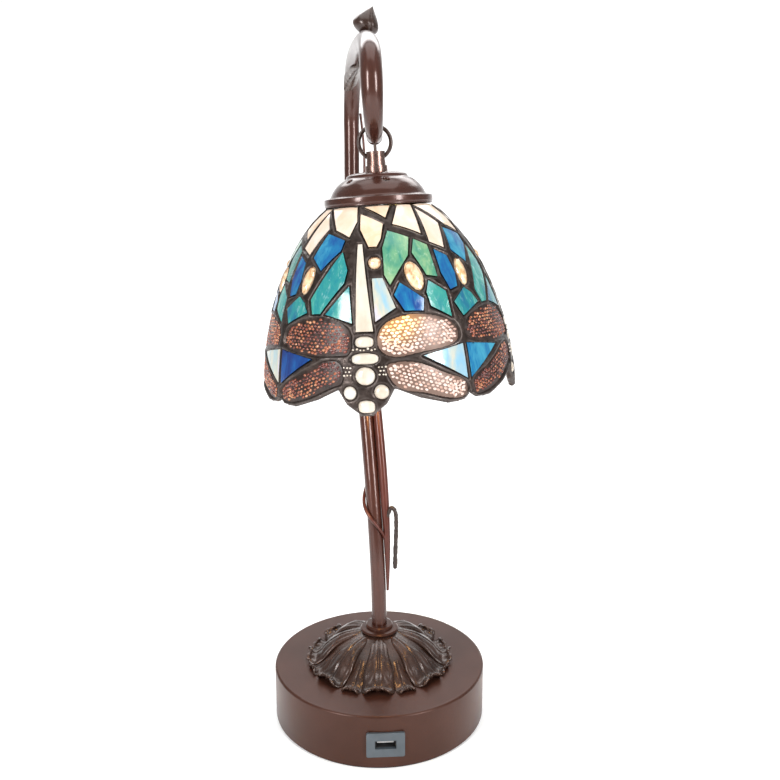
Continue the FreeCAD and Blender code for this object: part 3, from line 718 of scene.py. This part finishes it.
def bead_height(inside):
    """Height of the solder above the glass face, from the distance inside the came's edge."""
    share = min(max((inside + came_overlap) / came_shoulder, 0.0), 1.0)
    crown = came_rise * math.sqrt(1 - (1 - share) ** 2)
    skirt = min(max((-came_overlap - inside) / (skirt_reach - came_overlap), 0.0), 1.0)
    return crown - skirt_drop * skirt


def came_grid():
    """Angles and heights of the grid that covers the dome."""
    columns = int(round(2 * math.pi * rim_radius / came_step / sector_count)) * sector_count
    probe = 0.2 * MM
    arc = [dome_foot - probe]
    while arc[-1] < shade_top:
        slope = float(dome_radius(arc[-1]) - dome_radius(arc[-1] + probe)) / probe
        arc.append(arc[-1] + came_step / math.sqrt(1 + slope ** 2))
    arc[-1] = shade_top
    angles = np.radians(front_turn) + 2 * math.pi * np.arange(columns) / columns
    return angles, np.array(arc)


def near_pane(glass, point):
    """Whether a point lies within a pane: a ray outward leaves through its outer face."""
    radial = Vector((point.x, point.y, 0)).normalized()
    hit = glass.ray_cast(point, radial, 2.5 * MM)
    return hit[0] is not None and hit[1].dot(radial) > 0


def came_field(angles, heights):
    """Distance inside the came (negative inside a pane) and whether there is open air, at each grid point.

    Also gives the came's nearest point to each open grid point that is close to its edge."""
    glass = node_tree(all_panes, hang_inverse)
    lead = node_tree(["came"], hang_inverse)
    inside = np.zeros((len(heights), len(angles)))
    open_air = np.zeros(inside.shape, bool)
    edge_points = {}
    for row, height in enumerate(heights):
        slope = float(dome_radius(height + 0.5 * MM) - dome_radius(height - 0.5 * MM)) / MM
        radius = float(dome_radius(height))
        for column, angle in enumerate(angles):
            radial = radial_way(angle)
            sunk = radial * (radius - sunk_depth) + Vector((0, 0, height))
            outward = (radial - Vector((0, 0, slope))).normalized()
            hit = lead.ray_cast(sunk, outward, 3.0 * MM)
            if hit[0] is not None and hit[1].dot(radial) > 0:
                inside[row, column] = reach(glass.find_nearest(sunk, 4.0 * MM), 4.0 * MM)
                continue
            edge = lead.find_nearest(sunk, 6.0 * MM)
            distance = reach(edge, 6.0 * MM)
            inside[row, column] = -distance
            near_glass = glass.find_nearest(sunk, 1.2 * MM)[0] is not None
            if height < notch_top and not (near_glass and near_pane(glass, sunk)):
                open_air[row, column] = True
                if distance < 1.2 * MM:
                    edge_points[(row, column)] = edge[0]
    return inside, open_air, edge_points


def rim_distance(inside, open_air, angles, heights):
    """Shortens the distances near the shade's open lower edge."""
    rows = np.where(heights < rim_band_top)[0]
    rim = []
    for row in rows:
        for column in np.where(open_air[row])[0]:
            if abs(inside[row, column]) < 1.0 * MM:
                rim.append((row, column))

    def place(row, column):
        return radial_way(angles[column]) * float(dome_radius(heights[row])) + Vector((0, 0, heights[row]))

    tree = KDTree(len(rim))
    for index, spot in enumerate(rim):
        tree.insert(place(*spot), index)
    tree.balance()
    for row in rows:
        for column in np.where(~open_air[row] & (inside[row] > 0))[0]:
            index, away = tree.find(place(row, column))[1:]
            distance = max(away + inside[rim[index]], 0.0)
            inside[row, column] = min(inside[row, column], distance)


def solder_noise(point):
    """Lumps of hand-run solder, as a share of a millimetre."""
    broad = noise.noise(point * 210.0)
    fine = noise.noise(point * 520.0 + Vector((3.0, 1.0, 7.0)))
    return 0.20 * broad + 0.10 * fine


def came_pieces():
    """The leaded lattice as hand-soldered beads, outside and inside, in one piece for each sector."""
    angles, heights = came_grid()
    inside, open_air, edge_points = came_field(angles, heights)
    rim_distance(inside, open_air, angles, heights)
    outer = np.zeros((*inside.shape, 3))
    inner = np.zeros(outer.shape)
    for row, height in enumerate(heights):
        for column, angle in enumerate(angles):
            point, normal = dome_frame(angle, height)[:2]
            depth = inside[row, column]
            if (row, column) in edge_points:
                place = edge_points[(row, column)]
                place_height = max(place.z, float(heights[0]))
                radial = Vector((place.x, place.y, 0)).normalized()
                point = radial * float(dome_radius(place_height)) + Vector((0, 0, place_height))
                depth = -came_overlap + 0.05 * MM
            rise = bead_height(depth)
            lump = solder_noise(point) * MM * min(max((depth + came_overlap) / MM, 0.0), 1.0)
            if open_air[row, column]:
                rise = -0.7 * MM
                lump = 0.0
            outer[row, column] = point + normal * (rise + lump)
            inner[row, column] = point - normal * (glass_depth + 0.9 * rise + 0.8 * lump)
    for sector in range(sector_count):
        came_sector(sector, inside, open_air, edge_points, (outer, inner))


def cell(row, column, columns):
    """The four grid points round one cell, with the columns wrapped."""
    following = (column + 1) % columns
    column = column % columns
    return [(row, column), (row, following), (row + 1, following), (row + 1, column)]


def came_sector(sector, inside, open_air, edge_points, layers):
    """One sector's share of the lattice, closed along the open rim."""
    rows, columns = inside.shape
    in_reach = (inside > -skirt_reach) & ~open_air
    solid = (inside > 0) & ~open_air
    index = {}
    points = []
    faces = []

    def vertex(layer, spot):
        key = (layer, *spot)
        if key not in index:
            index[key] = len(points)
            points.append(Vector(layers[layer][spot]))
        return index[key]

    def kept(row, column):
        if row < 0 or row >= rows - 1:
            return False
        corners = cell(row, column, columns)
        if any(open_air[corner] for corner in corners):
            ready = all(in_reach[corner] or corner in edge_points for corner in corners)
            return ready and any(solid[corner] for corner in corners)
        return any(inside[corner] > -skirt_reach for corner in corners)

    def faces_air(row, column):
        if row < 0 or row >= rows - 1:
            return row < 0
        return any(open_air[corner] for corner in cell(row, column, columns))

    share = columns // sector_count
    start = sector * share - share // 2
    for row in range(rows - 1):
        for column in range(start, start + share):
            if not kept(row, column):
                continue
            quad = cell(row, column, columns)
            faces.append([vertex(0, corner) for corner in quad])
            faces.append([vertex(1, corner) for corner in reversed(quad)])
            beside = [(row - 1, column), (row, column + 1), (row + 1, column), (row, column - 1)]
            for other, first, second in zip(beside, quad, quad[1:] + quad[:1]):
                if not kept(*other) and faces_air(*other):
                    faces.append([vertex(1, first), vertex(1, second), vertex(0, second), vertex(0, first)])
    finish_hung(f"came_{sector}", points, faces, solder, ("came",))


# ---------------------------------------------------------------- wings

dot_pitch_along = 2.45 * MM
dot_pitch_across = 1.72 * MM
dot_rows = 8
dot_columns = 14
dot_clearance = 1.1 * MM
net_rise = 0.35 * MM
wing_low = 260 * MM
wing_high = 309 * MM


def long_axis(points):
    """Direction in which a cloud of points is longest."""
    offsets = points - points.mean(axis=0)
    return Vector(np.linalg.eigh(np.cov(offsets.T))[1][:, 2])


def dot_mesh(points, faces, centre, normal, along, half_long, half_short, rise):
    """Adds one oval domed dot of glass."""
    along = (along - normal * along.dot(normal)).normalized()
    across = normal.cross(along)
    sides = 8
    first = len(points)
    rings = ((1.0, 0.0), (0.86, 0.55), (0.5, 0.9))
    for share, lift in rings:
        for side in range(sides):
            angle = 2 * math.pi * side / sides
            offset = along * (math.cos(angle) * half_long) + across * (math.sin(angle) * half_short)
            points.append(centre + offset * share + normal * (rise * lift))
    points.append(centre + normal * rise)
    faces.extend(ring_faces(len(rings), sides, first))
    top = first + (len(rings) - 1) * sides
    for side in range(sides):
        faces.append((top + side, top + (side + 1) % sides, top + sides))


def wing_dots():
    """Rows of small oval glass dots that fill every wing, leaving a dark net between them."""
    lead = node_tree(["came"], hang_inverse)
    glass = node_tree(["wing_panes"], hang_inverse)
    points = []
    faces = []
    stray = np.random.default_rng(seed)
    for wing in node_islands("wing_panes", hang_inverse, 21):
        middle = Vector(wing.mean(axis=0))
        along = long_axis(wing)
        middle_angle = math.atan2(middle.x, -middle.y)
        middle_radius = float(dome_radius(middle.z))
        level = along.dot(Vector((math.cos(middle_angle), math.sin(middle_angle), 0.0)))
        slant = math.copysign(math.sqrt(max(1 - level ** 2, 0.0)), along.z)
        for row in range(-dot_rows, dot_rows + 1):
            for column in range(-dot_columns, dot_columns + 1):
                jitter = stray.normal(0.0, 0.2 * MM, 2)
                forward = (column + 0.5 * (row % 2)) * dot_pitch_along + jitter[0]
                sideways = row * dot_pitch_across + jitter[1]
                angle = middle_angle + (forward * level - sideways * slant) / middle_radius
                height = middle.z + (forward * slant + sideways * level) * 0.97
                surface, normal, around, upward = dome_frame(angle, height)
                sunk = surface - normal * (0.9 * MM)
                margin = reach(lead.find_nearest(sunk, 8.0 * MM), 8.0 * MM)
                if margin < dot_clearance or not near_pane(glass, sunk):
                    continue
                swell = stray.uniform(0.78, 1.16) * MM
                length_way = around * level + upward * slant
                cross_way = upward * level - around * slant
                turned = (length_way + cross_way * stray.normal(0.0, 0.2)).normalized()
                dot_mesh(points, faces, surface + normal * (0.24 * MM), normal, turned,
                         0.98 * swell, 0.66 * swell, 0.45 * MM)
    finish_hung("wing_dots", points, faces, dots, ("wing_panes",))


def wing_nets():
    """Dark cast net under the dots, swelling to a soft pillow over each wing, front and back."""
    glass = node_tree(["wing_panes"], hang_inverse)
    lead = node_tree(["came"], hang_inverse)
    angles, heights = came_grid()
    wing_rows = np.where((heights > wing_low) & (heights < wing_high))[0]
    columns = len(angles)
    within = np.zeros((len(heights), columns), bool)
    swell = np.zeros(within.shape)
    for row in wing_rows:
        radius = float(dome_radius(heights[row]))
        for column, angle in enumerate(angles):
            sunk = radial_way(angle) * (radius - sunk_depth) + Vector((0, 0, heights[row]))
            if near_pane(glass, sunk):
                within[row, column] = True
                swell[row, column] = reach(lead.find_nearest(sunk, 9.0 * MM), 9.0 * MM)
    index = {}
    points = []
    faces = []

    def vertex(layer, spot):
        key = (layer, *spot)
        if key not in index:
            index[key] = len(points)
            row, column = spot
            point, normal = dome_frame(angles[column], heights[row])[:2]
            depth = min(swell[spot] / (3.0 * MM), 1.0)
            ripple = 0.07 * MM * noise.noise(point * 600.0)
            lift = -0.1 * MM + net_rise * math.sin(depth * math.pi / 2) + ripple
            if layer:
                lift = -glass_depth - 0.3 * lift
            points.append(point + normal * lift)
        return index[key]

    for row in wing_rows[:-1]:
        for column in range(columns):
            corners = cell(row, column, columns)
            if any(within[corner] for corner in corners):
                faces.append([vertex(0, corner) for corner in corners])
                faces.append([vertex(1, corner) for corner in reversed(corners)])
    finish_hung("wing_net", points, faces, net, ("wing_filigree",))


# ---------------------------------------------------------------- jewels and beads

def squared(value, power):
    """A sine or cosine bent from a circle's towards a square's."""
    return math.copysign(abs(value) ** (2.0 / power), value)


def facet_pair(low, side, sides, odd):
    """Two flats between neighbours of one ring and of the next, which is turned by half a step."""
    a = low + side
    b = low + (side + 1) % sides
    c = a + sides
    d = b + sides
    return [(a, b, d), (a, d, c)] if odd else [(a, b, c), (b, d, c)]


def gem_domes(name, node, material, rise, rings, sides, facets):
    """A dome of glass on each oval of a CAD node: faceted, or smooth and squared where it is long."""
    points = []
    faces = []
    for oval in node_islands(node, hang_inverse, 9):
        middle = Vector(oval.mean(axis=0))
        surface, normal = dome_frame(math.atan2(middle.x, -middle.y), middle.z)[:2]
        flat = oval - np.outer((oval - np.array(surface)) @ np.array(normal), np.array(normal))
        along = long_axis(flat)
        along = (along - normal * along.dot(normal)).normalized()
        across = normal.cross(along)
        offsets = flat - flat.mean(axis=0)
        half_long = float(np.abs(offsets @ np.array(along)).max())
        half_short = float(np.abs(offsets @ np.array(across)).max())
        power = 3.2 if half_long > 1.15 * half_short and not facets else 2.0
        first = len(points)
        for ring in range(rings + 1):
            climb = 0.5 * math.pi * ring / (rings + 0.35)
            for side in range(sides):
                angle = 2 * math.pi * (side + 0.5 * (ring % 2) * facets) / sides
                offset = (across * (squared(math.cos(angle), power) * half_short)
                          + along * (squared(math.sin(angle), power) * half_long))
                lift = rise * math.sin(climb) - 0.3 * MM
                points.append(surface + offset * math.cos(climb) + normal * lift)
        if facets:
            for ring in range(rings):
                for side in range(sides):
                    faces.extend(facet_pair(first + ring * sides, side, sides, ring % 2))
        else:
            faces.extend(ring_faces(rings + 1, sides, first))
        faces.append(tuple(range(first + rings * sides, first + (rings + 1) * sides)))
    finish_hung(name, points, faces, material, smooth=not facets)


def body_dots():
    """Small white beads of glass set in the solder between the dragonfly's body segments."""
    places = [(turn, 290.2 + 0.25 * math.sin(turn * 1.3)) for turn in (-4.6, -3.1, -1.6, 0.0, 1.6, 3.1, 4.6)]
    for side in (-1, 1):
        for row, count in enumerate((3, 2, 3)):
            for column in range(count):
                places.append((side * (5.9 + 1.35 * column + 0.6 * (row == 1)), 281.6 - 1.9 * row))
    points = []
    faces = []
    stray = np.random.default_rng(seed + 2)
    for sector in range(sector_count):
        sector_turn = front_turn + 360.0 * sector / sector_count
        for turn, height in places:
            angle = math.radians(turn + sector_turn + stray.normal(0.0, 0.12))
            point, normal, across = dome_frame(angle, (height + stray.normal(0.0, 0.12)) * MM)[:3]
            swell = stray.uniform(0.85, 1.15) * MM
            dot_mesh(points, faces, point + normal * (0.75 * MM), normal, across, 0.62 * swell, 0.52 * swell,
                     0.62 * MM)
    finish_hung("body_dots", points, faces, white)


# ---------------------------------------------------------------- cap and its vents

cap_top = 380.0
vent_count = 6
vent_radius = 1.8


def cut_away(piece, cutter):
    """Cuts one closed mesh out of another and removes the cutter."""
    modifier = piece.modifiers.new("cut", "BOOLEAN")
    modifier.operation = "DIFFERENCE"
    modifier.solver = "EXACT"
    modifier.object = cutter
    applied(piece)
    bpy.data.objects.remove(cutter)


def vent_drills():
    """Short rods, leaning outward, where the vents go."""
    drills = []
    for index in range(vent_count):
        turn = math.radians(14.0 + 360.0 * index / vent_count)
        drill = lathe("drill", [(0.0, -8.0), (vent_radius, -8.0), (vent_radius, 8.0), (0.0, 8.0)], 24)
        tip = Matrix.Translation(radial_way(turn) * (20.6 * MM) + Vector((0, 0, (cap_top - 5.0) * MM)))
        lean = Matrix.Rotation(turn, 4, "Z") @ Matrix.Rotation(math.radians(24.0), 4, "X")
        drill.data.transform(tip @ lean)
        drills.append(drill)
    return join("drills", drills)


def spun_cap():
    """Spun metal cap: a shallow dome on a rolled flange, with vent holes round it."""
    # (radius, drop below the top)
    outside = [(4.85, -0.1), (10.0, 0.1), (14.6, 0.8), (16.9, 1.7), (17.5, 3.3), (20.2, 4.6), (23.2, 7.0),
               (25.5, 10.0), (26.8, 12.7), (27.5, 13.5), (29.6, 13.6), (30.4, 14.0), (30.5, 15.0),
               (30.5, 16.9), (30.1, 17.6), (30.5, 18.2)]
    inside = [(29.4, 18.2), (29.3, 14.9), (26.1, 14.6), (24.2, 10.7), (21.9, 8.0), (19.0, 5.9), (16.4, 4.7),
              (13.4, 2.8), (8.8, 1.5), (4.85, 1.2)]
    outline = [(radius, cap_top - drop) for radius, drop in rounded(outside) + rounded(inside)]
    outline.append(outline[0])
    cap = lathe("cap_spun", outline, 120)
    welded(cap, 1e-7)
    cutter = vent_drills()
    welded(cutter, 1e-6)
    cut_away(cap, cutter)
    cap.data.transform(hang_matrix)
    finish_piece(cap, "shade", gloss, ("cap",))


# ---------------------------------------------------------------- rosette

def eased(share):
    """A share from 0 to 1, slowed at both ends."""
    share = min(max(share, 0.0), 1.0)
    return share * share * (3 - 2 * share)


def between(stops, share):
    """Value on a smooth line through (share, value) stops."""
    for (start, first), (end, second) in zip(stops, stops[1:]):
        if share <= end:
            return first + (second - first) * eased((share - start) / (end - start))
    return stops[-1][1]


def curve_through(corners, share):
    """Point on a Catmull-Rom curve through the corners."""
    spans = len(corners) - 1
    place = min(max(share, 0.0), 1.0) * spans
    index = min(int(place), spans - 1)
    t = place - index
    a, b, c, d = [Vector(corners[min(max(index + step, 0), spans)]) for step in (-1, 0, 1, 2)]
    bend = 2 * a - 5 * b + 4 * c - d
    twist = 3 * b - a - 3 * c + d
    return 0.5 * (2 * b + (c - a) * t + bend * t * t + twist * t ** 3)


def curve_heading(corners, share, step):
    """Direction of the curve near a point on it."""
    ahead = curve_through(corners, min(share + step, 1.0))
    return (ahead - curve_through(corners, max(share - step, 0.0))).normalized()


def bell(value, width):
    """1 at 0, falling off smoothly on both sides."""
    return math.exp(-(value / width) ** 2)


def carved_leaf(spine, half_width, turn, veins, sweep, droop, rise):
    """One carved leaf that lies on the rosette: a mid groove, side veins and rolled edges."""
    rows = 46
    sides = 15
    points = []
    for row in range(rows + 1):
        along = row / rows
        centre = curve_through(spine, along)
        ahead = curve_heading(spine, along, 0.01)
        up = Vector((-ahead.z, 0, ahead.x))
        width = between(half_width, along) * (1.0 + 0.018 * math.sin(along * math.pi * 2 * veins))
        fade = min(along * 5.0, 1.0) * min((1.02 - along) * 9.0, 1.0)
        for side in range(-sides, sides + 1):
            across = side / sides
            vein_phase = along * veins - abs(across) * 0.9
            side_vein = bell(vein_phase - round(vein_phase), 0.17)
            groove = -0.9 * bell(across, 0.1)
            ridges = 0.42 * side_vein * min(abs(across) * 3.0, 1.0) * (1 - abs(across) ** 6)
            rolled = 0.7 * bell(abs(across) - 0.84, 0.13)
            lift = rise * (groove + ridges + rolled) * fade - droop * across * across
            place = centre + up * lift
            points.append(Vector((place.x, width * across + sweep * along * along, place.z)) * MM)
    stride = 2 * sides + 1
    faces = []
    for row in range(rows):
        for side in range(stride - 1):
            low = row * stride + side
            faces.append((low, low + stride, low + stride + 1, low + 1))
    leaf = mesh_object("leaf", points, faces)
    solid = leaf.modifiers.new("thickness", "SOLIDIFY")
    solid.thickness = 1.5 * MM
    solid.offset = -1.0
    applied(leaf)
    leaf.data.transform(Matrix.Rotation(turn - math.pi / 2, 4, "Z"))
    return leaf


def rosette():
    """Two rows of cast acanthus leaves round the foot of the pole, over a plain hidden core."""
    large_spine = [(7.5, 0, 61.0), (15.0, 0, 60.2), (23.0, 0, 58.6), (31.0, 0, 55.2), (38.0, 0, 50.0),
                   (43.0, 0, 44.4), (46.6, 0, 41.6), (49.0, 0, 42.4), (49.6, 0, 44.4)]
    large_width = [(0.0, 3.0), (0.25, 6.4), (0.55, 10.6), (0.75, 11.4), (0.9, 9.0), (1.0, 5.2)]
    small_spine = [(22.0, 0, 55.0), (31.0, 0, 51.5), (38.0, 0, 46.0), (43.0, 0, 41.6), (46.8, 0, 39.6),
                   (49.2, 0, 40.2), (50.0, 0, 42.0)]
    small_width = [(0.0, 3.0), (0.4, 7.0), (0.75, 7.8), (0.92, 6.0), (1.0, 3.6)]
    core_outline = [(5.7, 60.9), (12.0, 60.3), (22.0, 56.2), (31.0, 51.5), (37.5, 45.5), (40.5, 38.6),
                    (40.0, 38.0), (5.7, 38.0)]
    leaf_count = 8
    leaves = []
    stray = np.random.default_rng(seed + 1)
    for index in range(leaf_count):
        turn = 2 * math.pi * index / leaf_count
        sweep = float(stray.uniform(-1.6, 1.6))
        leaves.append(carved_leaf(large_spine, large_width, turn, 4, sweep, 3.4, 1.0))
        turn += math.pi / leaf_count
        leaves.append(carved_leaf(small_spine, small_width, turn, 3, -sweep * 0.5, 2.6, 0.8))
    leaves.append(lathe("core", rounded(core_outline), 72))
    piece = join("rosette_leaves", leaves)
    finish_piece(piece, "stand", casting, ("leaf_rosette",))


# ---------------------------------------------------------------- finial, arm leaf, twig

def bud():
    """Closed leaf bud: smooth leaves folded round each other, parted by fine dark seams."""
    lean = math.radians(21.0)
    axis = Vector((math.sin(lean), 0.0, math.cos(lean)))
    shell = np.vstack(node_islands("finial", Matrix.Identity(4)))
    middle = shell.mean(axis=0)
    levels = (shell - middle) @ np.array(axis)
    foot = Vector(middle) + axis * float(levels.min())
    tall = 0.91 * float(levels.max() - levels.min())
    across = Vector((0, -1, 0))
    beside = axis.cross(across)
    rows = 60
    sides = 90
    leaves = 3
    stalk = 0.2
    stalk_radius = 1.6
    tip_radius = 0.12
    widest = 7.7
    points = []
    for row in range(rows + 1):
        level = row / rows
        body = widest * math.sin(math.pi * max((level - stalk) / (1 - stalk), 0.0) ** 0.576)
        radius = max(body, stalk_radius if level < 0.5 else tip_radius) * MM
        for side in range(sides):
            turn = side / sides
            wrap = (leaves * turn + 0.4 * level + 0.1) % 1.0
            seam = -0.07 * bell(wrap - 0.5, 0.03)
            lip = 0.035 * bell(wrap - 0.6, 0.09)
            swell = 1.0 + (lip + seam) * eased((level - stalk) * 6)
            offset = across * math.cos(2 * math.pi * turn) + beside * math.sin(2 * math.pi * turn)
            points.append(foot + axis * (tall * level) + offset * (radius * swell))
    faces = ring_faces(rows + 1, sides) + closed_ends(rows + 1, sides)
    piece = mesh_object("finial_bud", points, faces)
    finish_piece(piece, "stand", casting, ("finial",))


def leaf_shell_faces(rows, stride):
    """Faces of a closed leaf: its top rows, its under rows and the edge round them."""
    under = (rows + 1) * stride
    faces = []
    for row in range(rows):
        for side in range(stride - 1):
            start = row * stride + side
            top = (start, start + 1, start + stride + 1, start + stride)
            faces.append(top)
            faces.append(tuple(under + corner for corner in reversed(top)))
        for start, following in ((row * stride, (row + 1) * stride),
                                 ((row + 2) * stride - 1, (row + 1) * stride - 1)):
            faces.append((start, following, under + following, under + start))
    for side in range(stride - 1):
        last = rows * stride + side
        faces.append((side + 1, side, under + side, under + side + 1))
        faces.append((last, last + 1, under + last + 1, under + last))
    return faces


def arm_leaf():
    """Broad pointed leaf that wraps the under side of the arm's back bend, parted by a dark mid vein."""
    metal = node_tree(["arm", "pole"], Matrix.Identity(4))
    corners = ((-24.4, 45.5, 443.8), (-21.0, 37.0, 447.6), (-17.0, 23.0, 450.4), (-11.6, -3.0, 453.0))
    spine = [Vector(corner) * MM for corner in corners]
    widths = [(0.0, 1.4), (0.2, 5.2), (0.42, 6.8), (0.7, 5.0), (1.0, 0.3)]
    toward = Vector((0.0, -0.75, -0.66))
    rows = 50
    sides = 14
    points = []
    for top in (1.0, 0.0):
        for row in range(rows + 1):
            along = row / rows
            centre = curve_through(spine, along) + toward * (0.6 * MM)
            beside = curve_heading(spine, along, 0.02).cross(toward).normalized()
            width = between(widths, along) * MM * (1 + 0.05 * math.sin(along * 24))
            for side in range(-sides, sides + 1):
                share = side / sides
                free = centre + beside * (width * share)
                nearest = metal.find_nearest(free)[0]
                vein_phase = along * 6 - abs(share) * 1.1
                vein = 0.24 * bell(vein_phase - round(vein_phase), 0.2) * (1 - abs(share))
                body = 1.9 - 0.9 * abs(share) ** 3 - 0.75 * bell(share, 0.1) + vein
                lift = 0.25 + top * max(body, 0.35)
                points.append(nearest + (free - nearest).normalized() * (lift * MM))
    blade = mesh_object("arm_leaf_blade", points, leaf_shell_faces(rows, 2 * sides + 1))
    finish_piece(blade, "stand", grey_lit_leaf, ("arm_leaf",))


def twig_bark():
    """Short hanging twig with lightly knobbled bark."""
    root_height = 140.0
    root_out = 8.5
    lean_low = 60.0
    lean_high = 386.0
    lean = Vector((-20.0, 60.0, 0.0)) * eased((root_height - lean_low) / (lean_high - lean_low))
    start = lean + radial_way(math.radians(72.0)) * root_out + Vector((0, 0, root_height))
    steps = [(0.4, -0.2, 2.6), (1.4, -0.6, 7.0), (4.0, -1.2, 12.0), (6.8, -1.8, 8.0), (7.2, -2.2, -3.0),
             (6.7, -2.8, -20.0), (6.4, -3.2, -34.0)]
    spine = [(start + Vector(step)) * MM for step in steps]
    count = 90
    path = []
    radii = []
    for index in range(count + 1):
        share = index / count
        knob = 0.14 * math.sin(index * 0.7) + 0.10 * math.sin(index * 1.73 + 1.0)
        rounded_end = math.sqrt(max(1 - max((share - 0.97) / 0.03, 0.0) ** 2, 0.04))
        path.append(curve_through(spine, share))
        radii.append((1.35 + 0.35 * share + knob) * MM * rounded_end)
    piece = tube("twig_bark", path, radii, 16)
    for vertex in piece.data.vertices:
        vertex.co += noise.noise_vector(vertex.co * 420.0) * (0.16 * MM)
    finish_piece(piece, "stand", bark, ("twig",))


# ---------------------------------------------------------------- build

came_pieces()
wing_nets()
wing_dots()
body_dots()
gem_domes("bead_domes", "body_beads", white, 1.7 * MM, 5, 32, False)
gem_domes("jewel_facets", "amber_jewels", amber, 2.3 * MM, 3, 12, True)
spun_cap()
rosette()
bud()
arm_leaf()
twig_bark()


# ---------------------------------------------------------------- stage, light and camera

def floor():
    """Pale paper floor that curves up into a backdrop far behind."""
    half = 3.0
    bend = 0.8
    bend_start = 1.6
    profile = [(-3.0, 0.0), (bend_start, 0.0)]
    for step in range(1, 10):
        angle = math.radians(step * 10)
        profile.append((bend_start + bend * math.sin(angle), bend * (1 - math.cos(angle))))
    profile.append((bend_start + bend, 3.2))
    points = []
    for depth, height in profile:
        points += [(-half, depth, height), (half, depth, height)]
    faces = [(2 * row, 2 * row + 1, 2 * row + 3, 2 * row + 2) for row in range(len(profile) - 1)]
    sheet = mesh_object("floor_sheet", points, faces)
    sheet.data.materials.append(floor_paper())


def light(name, kind, place, power, colour=(1.0, 1.0, 1.0)):
    lamp = linked(name, bpy.data.lights.new(name, kind))
    lamp.data.energy = power
    lamp.data.color = colour
    lamp.location = place
    return lamp


def soft_box(name, place, target, width, tall, power):
    """A flat rectangular light that faces a point."""
    lamp = light(name, "AREA", place, power)
    lamp.data.shape = "RECTANGLE"
    lamp.data.size = width
    lamp.data.size_y = tall
    lamp.rotation_euler = (Vector(target) - Vector(place)).to_track_quat("-Z", "Y").to_euler()


def bulb_light():
    """Warm light from where the bulb hangs."""
    place = hang_matrix @ Vector((0, 0, 266 * MM))
    lamp = light("bulb_glow", "POINT", place, 0.5, (1.0, 0.55, 0.22))
    lamp.data.shadow_soft_size = 18 * MM


def world_light():
    """White studio surround, dimmer as a light than it looks to the camera."""
    world = bpy.data.worlds.new("studio")
    bpy.context.scene.world = world
    world.use_nodes = True
    tree = world.node_tree
    seen = shader_node(tree, "LightPath").outputs["Is Camera Ray"]
    background = tree.nodes["Background"]
    background.inputs["Color"].default_value = (1.0, 1.0, 1.0, 1.0)
    tree.links.new(span(tree, seen, 0.0, 1.0, 0.37, 1.0), background.inputs["Strength"])


def camera():
    """A little above the lamp's middle, looking slightly down."""
    data = bpy.data.cameras.new("camera")
    data.sensor_width = 36.0
    data.lens = 38.3
    data.clip_start = 0.01
    seer = linked("camera", data)
    seer.location = (0.0078, -0.563, 0.3507)
    seer.rotation_euler = (math.radians(90.0 - 11.2), 0.0, 0.0)
    bpy.context.scene.camera = seer


floor()
world_light()
soft_box("left_strip", (-0.95, -1.15, 0.75), (0, 0, 0.22), 0.3, 0.9, 19.0)
soft_box("right_strip", (1.0, -1.1, 0.75), (0, 0, 0.22), 0.3, 0.9, 18.0)
soft_box("top", (0.0, -0.1, 1.7), (0, 0, 0.2), 1.4, 1.2, 9.0)
soft_box("floor_wash", (0.0, 1.3, 1.6), (0, 0.9, 0.0), 2.4, 1.0, 26.0)
bulb_light()
camera()
bpy.context.scene.view_settings.view_transform = "Standard"
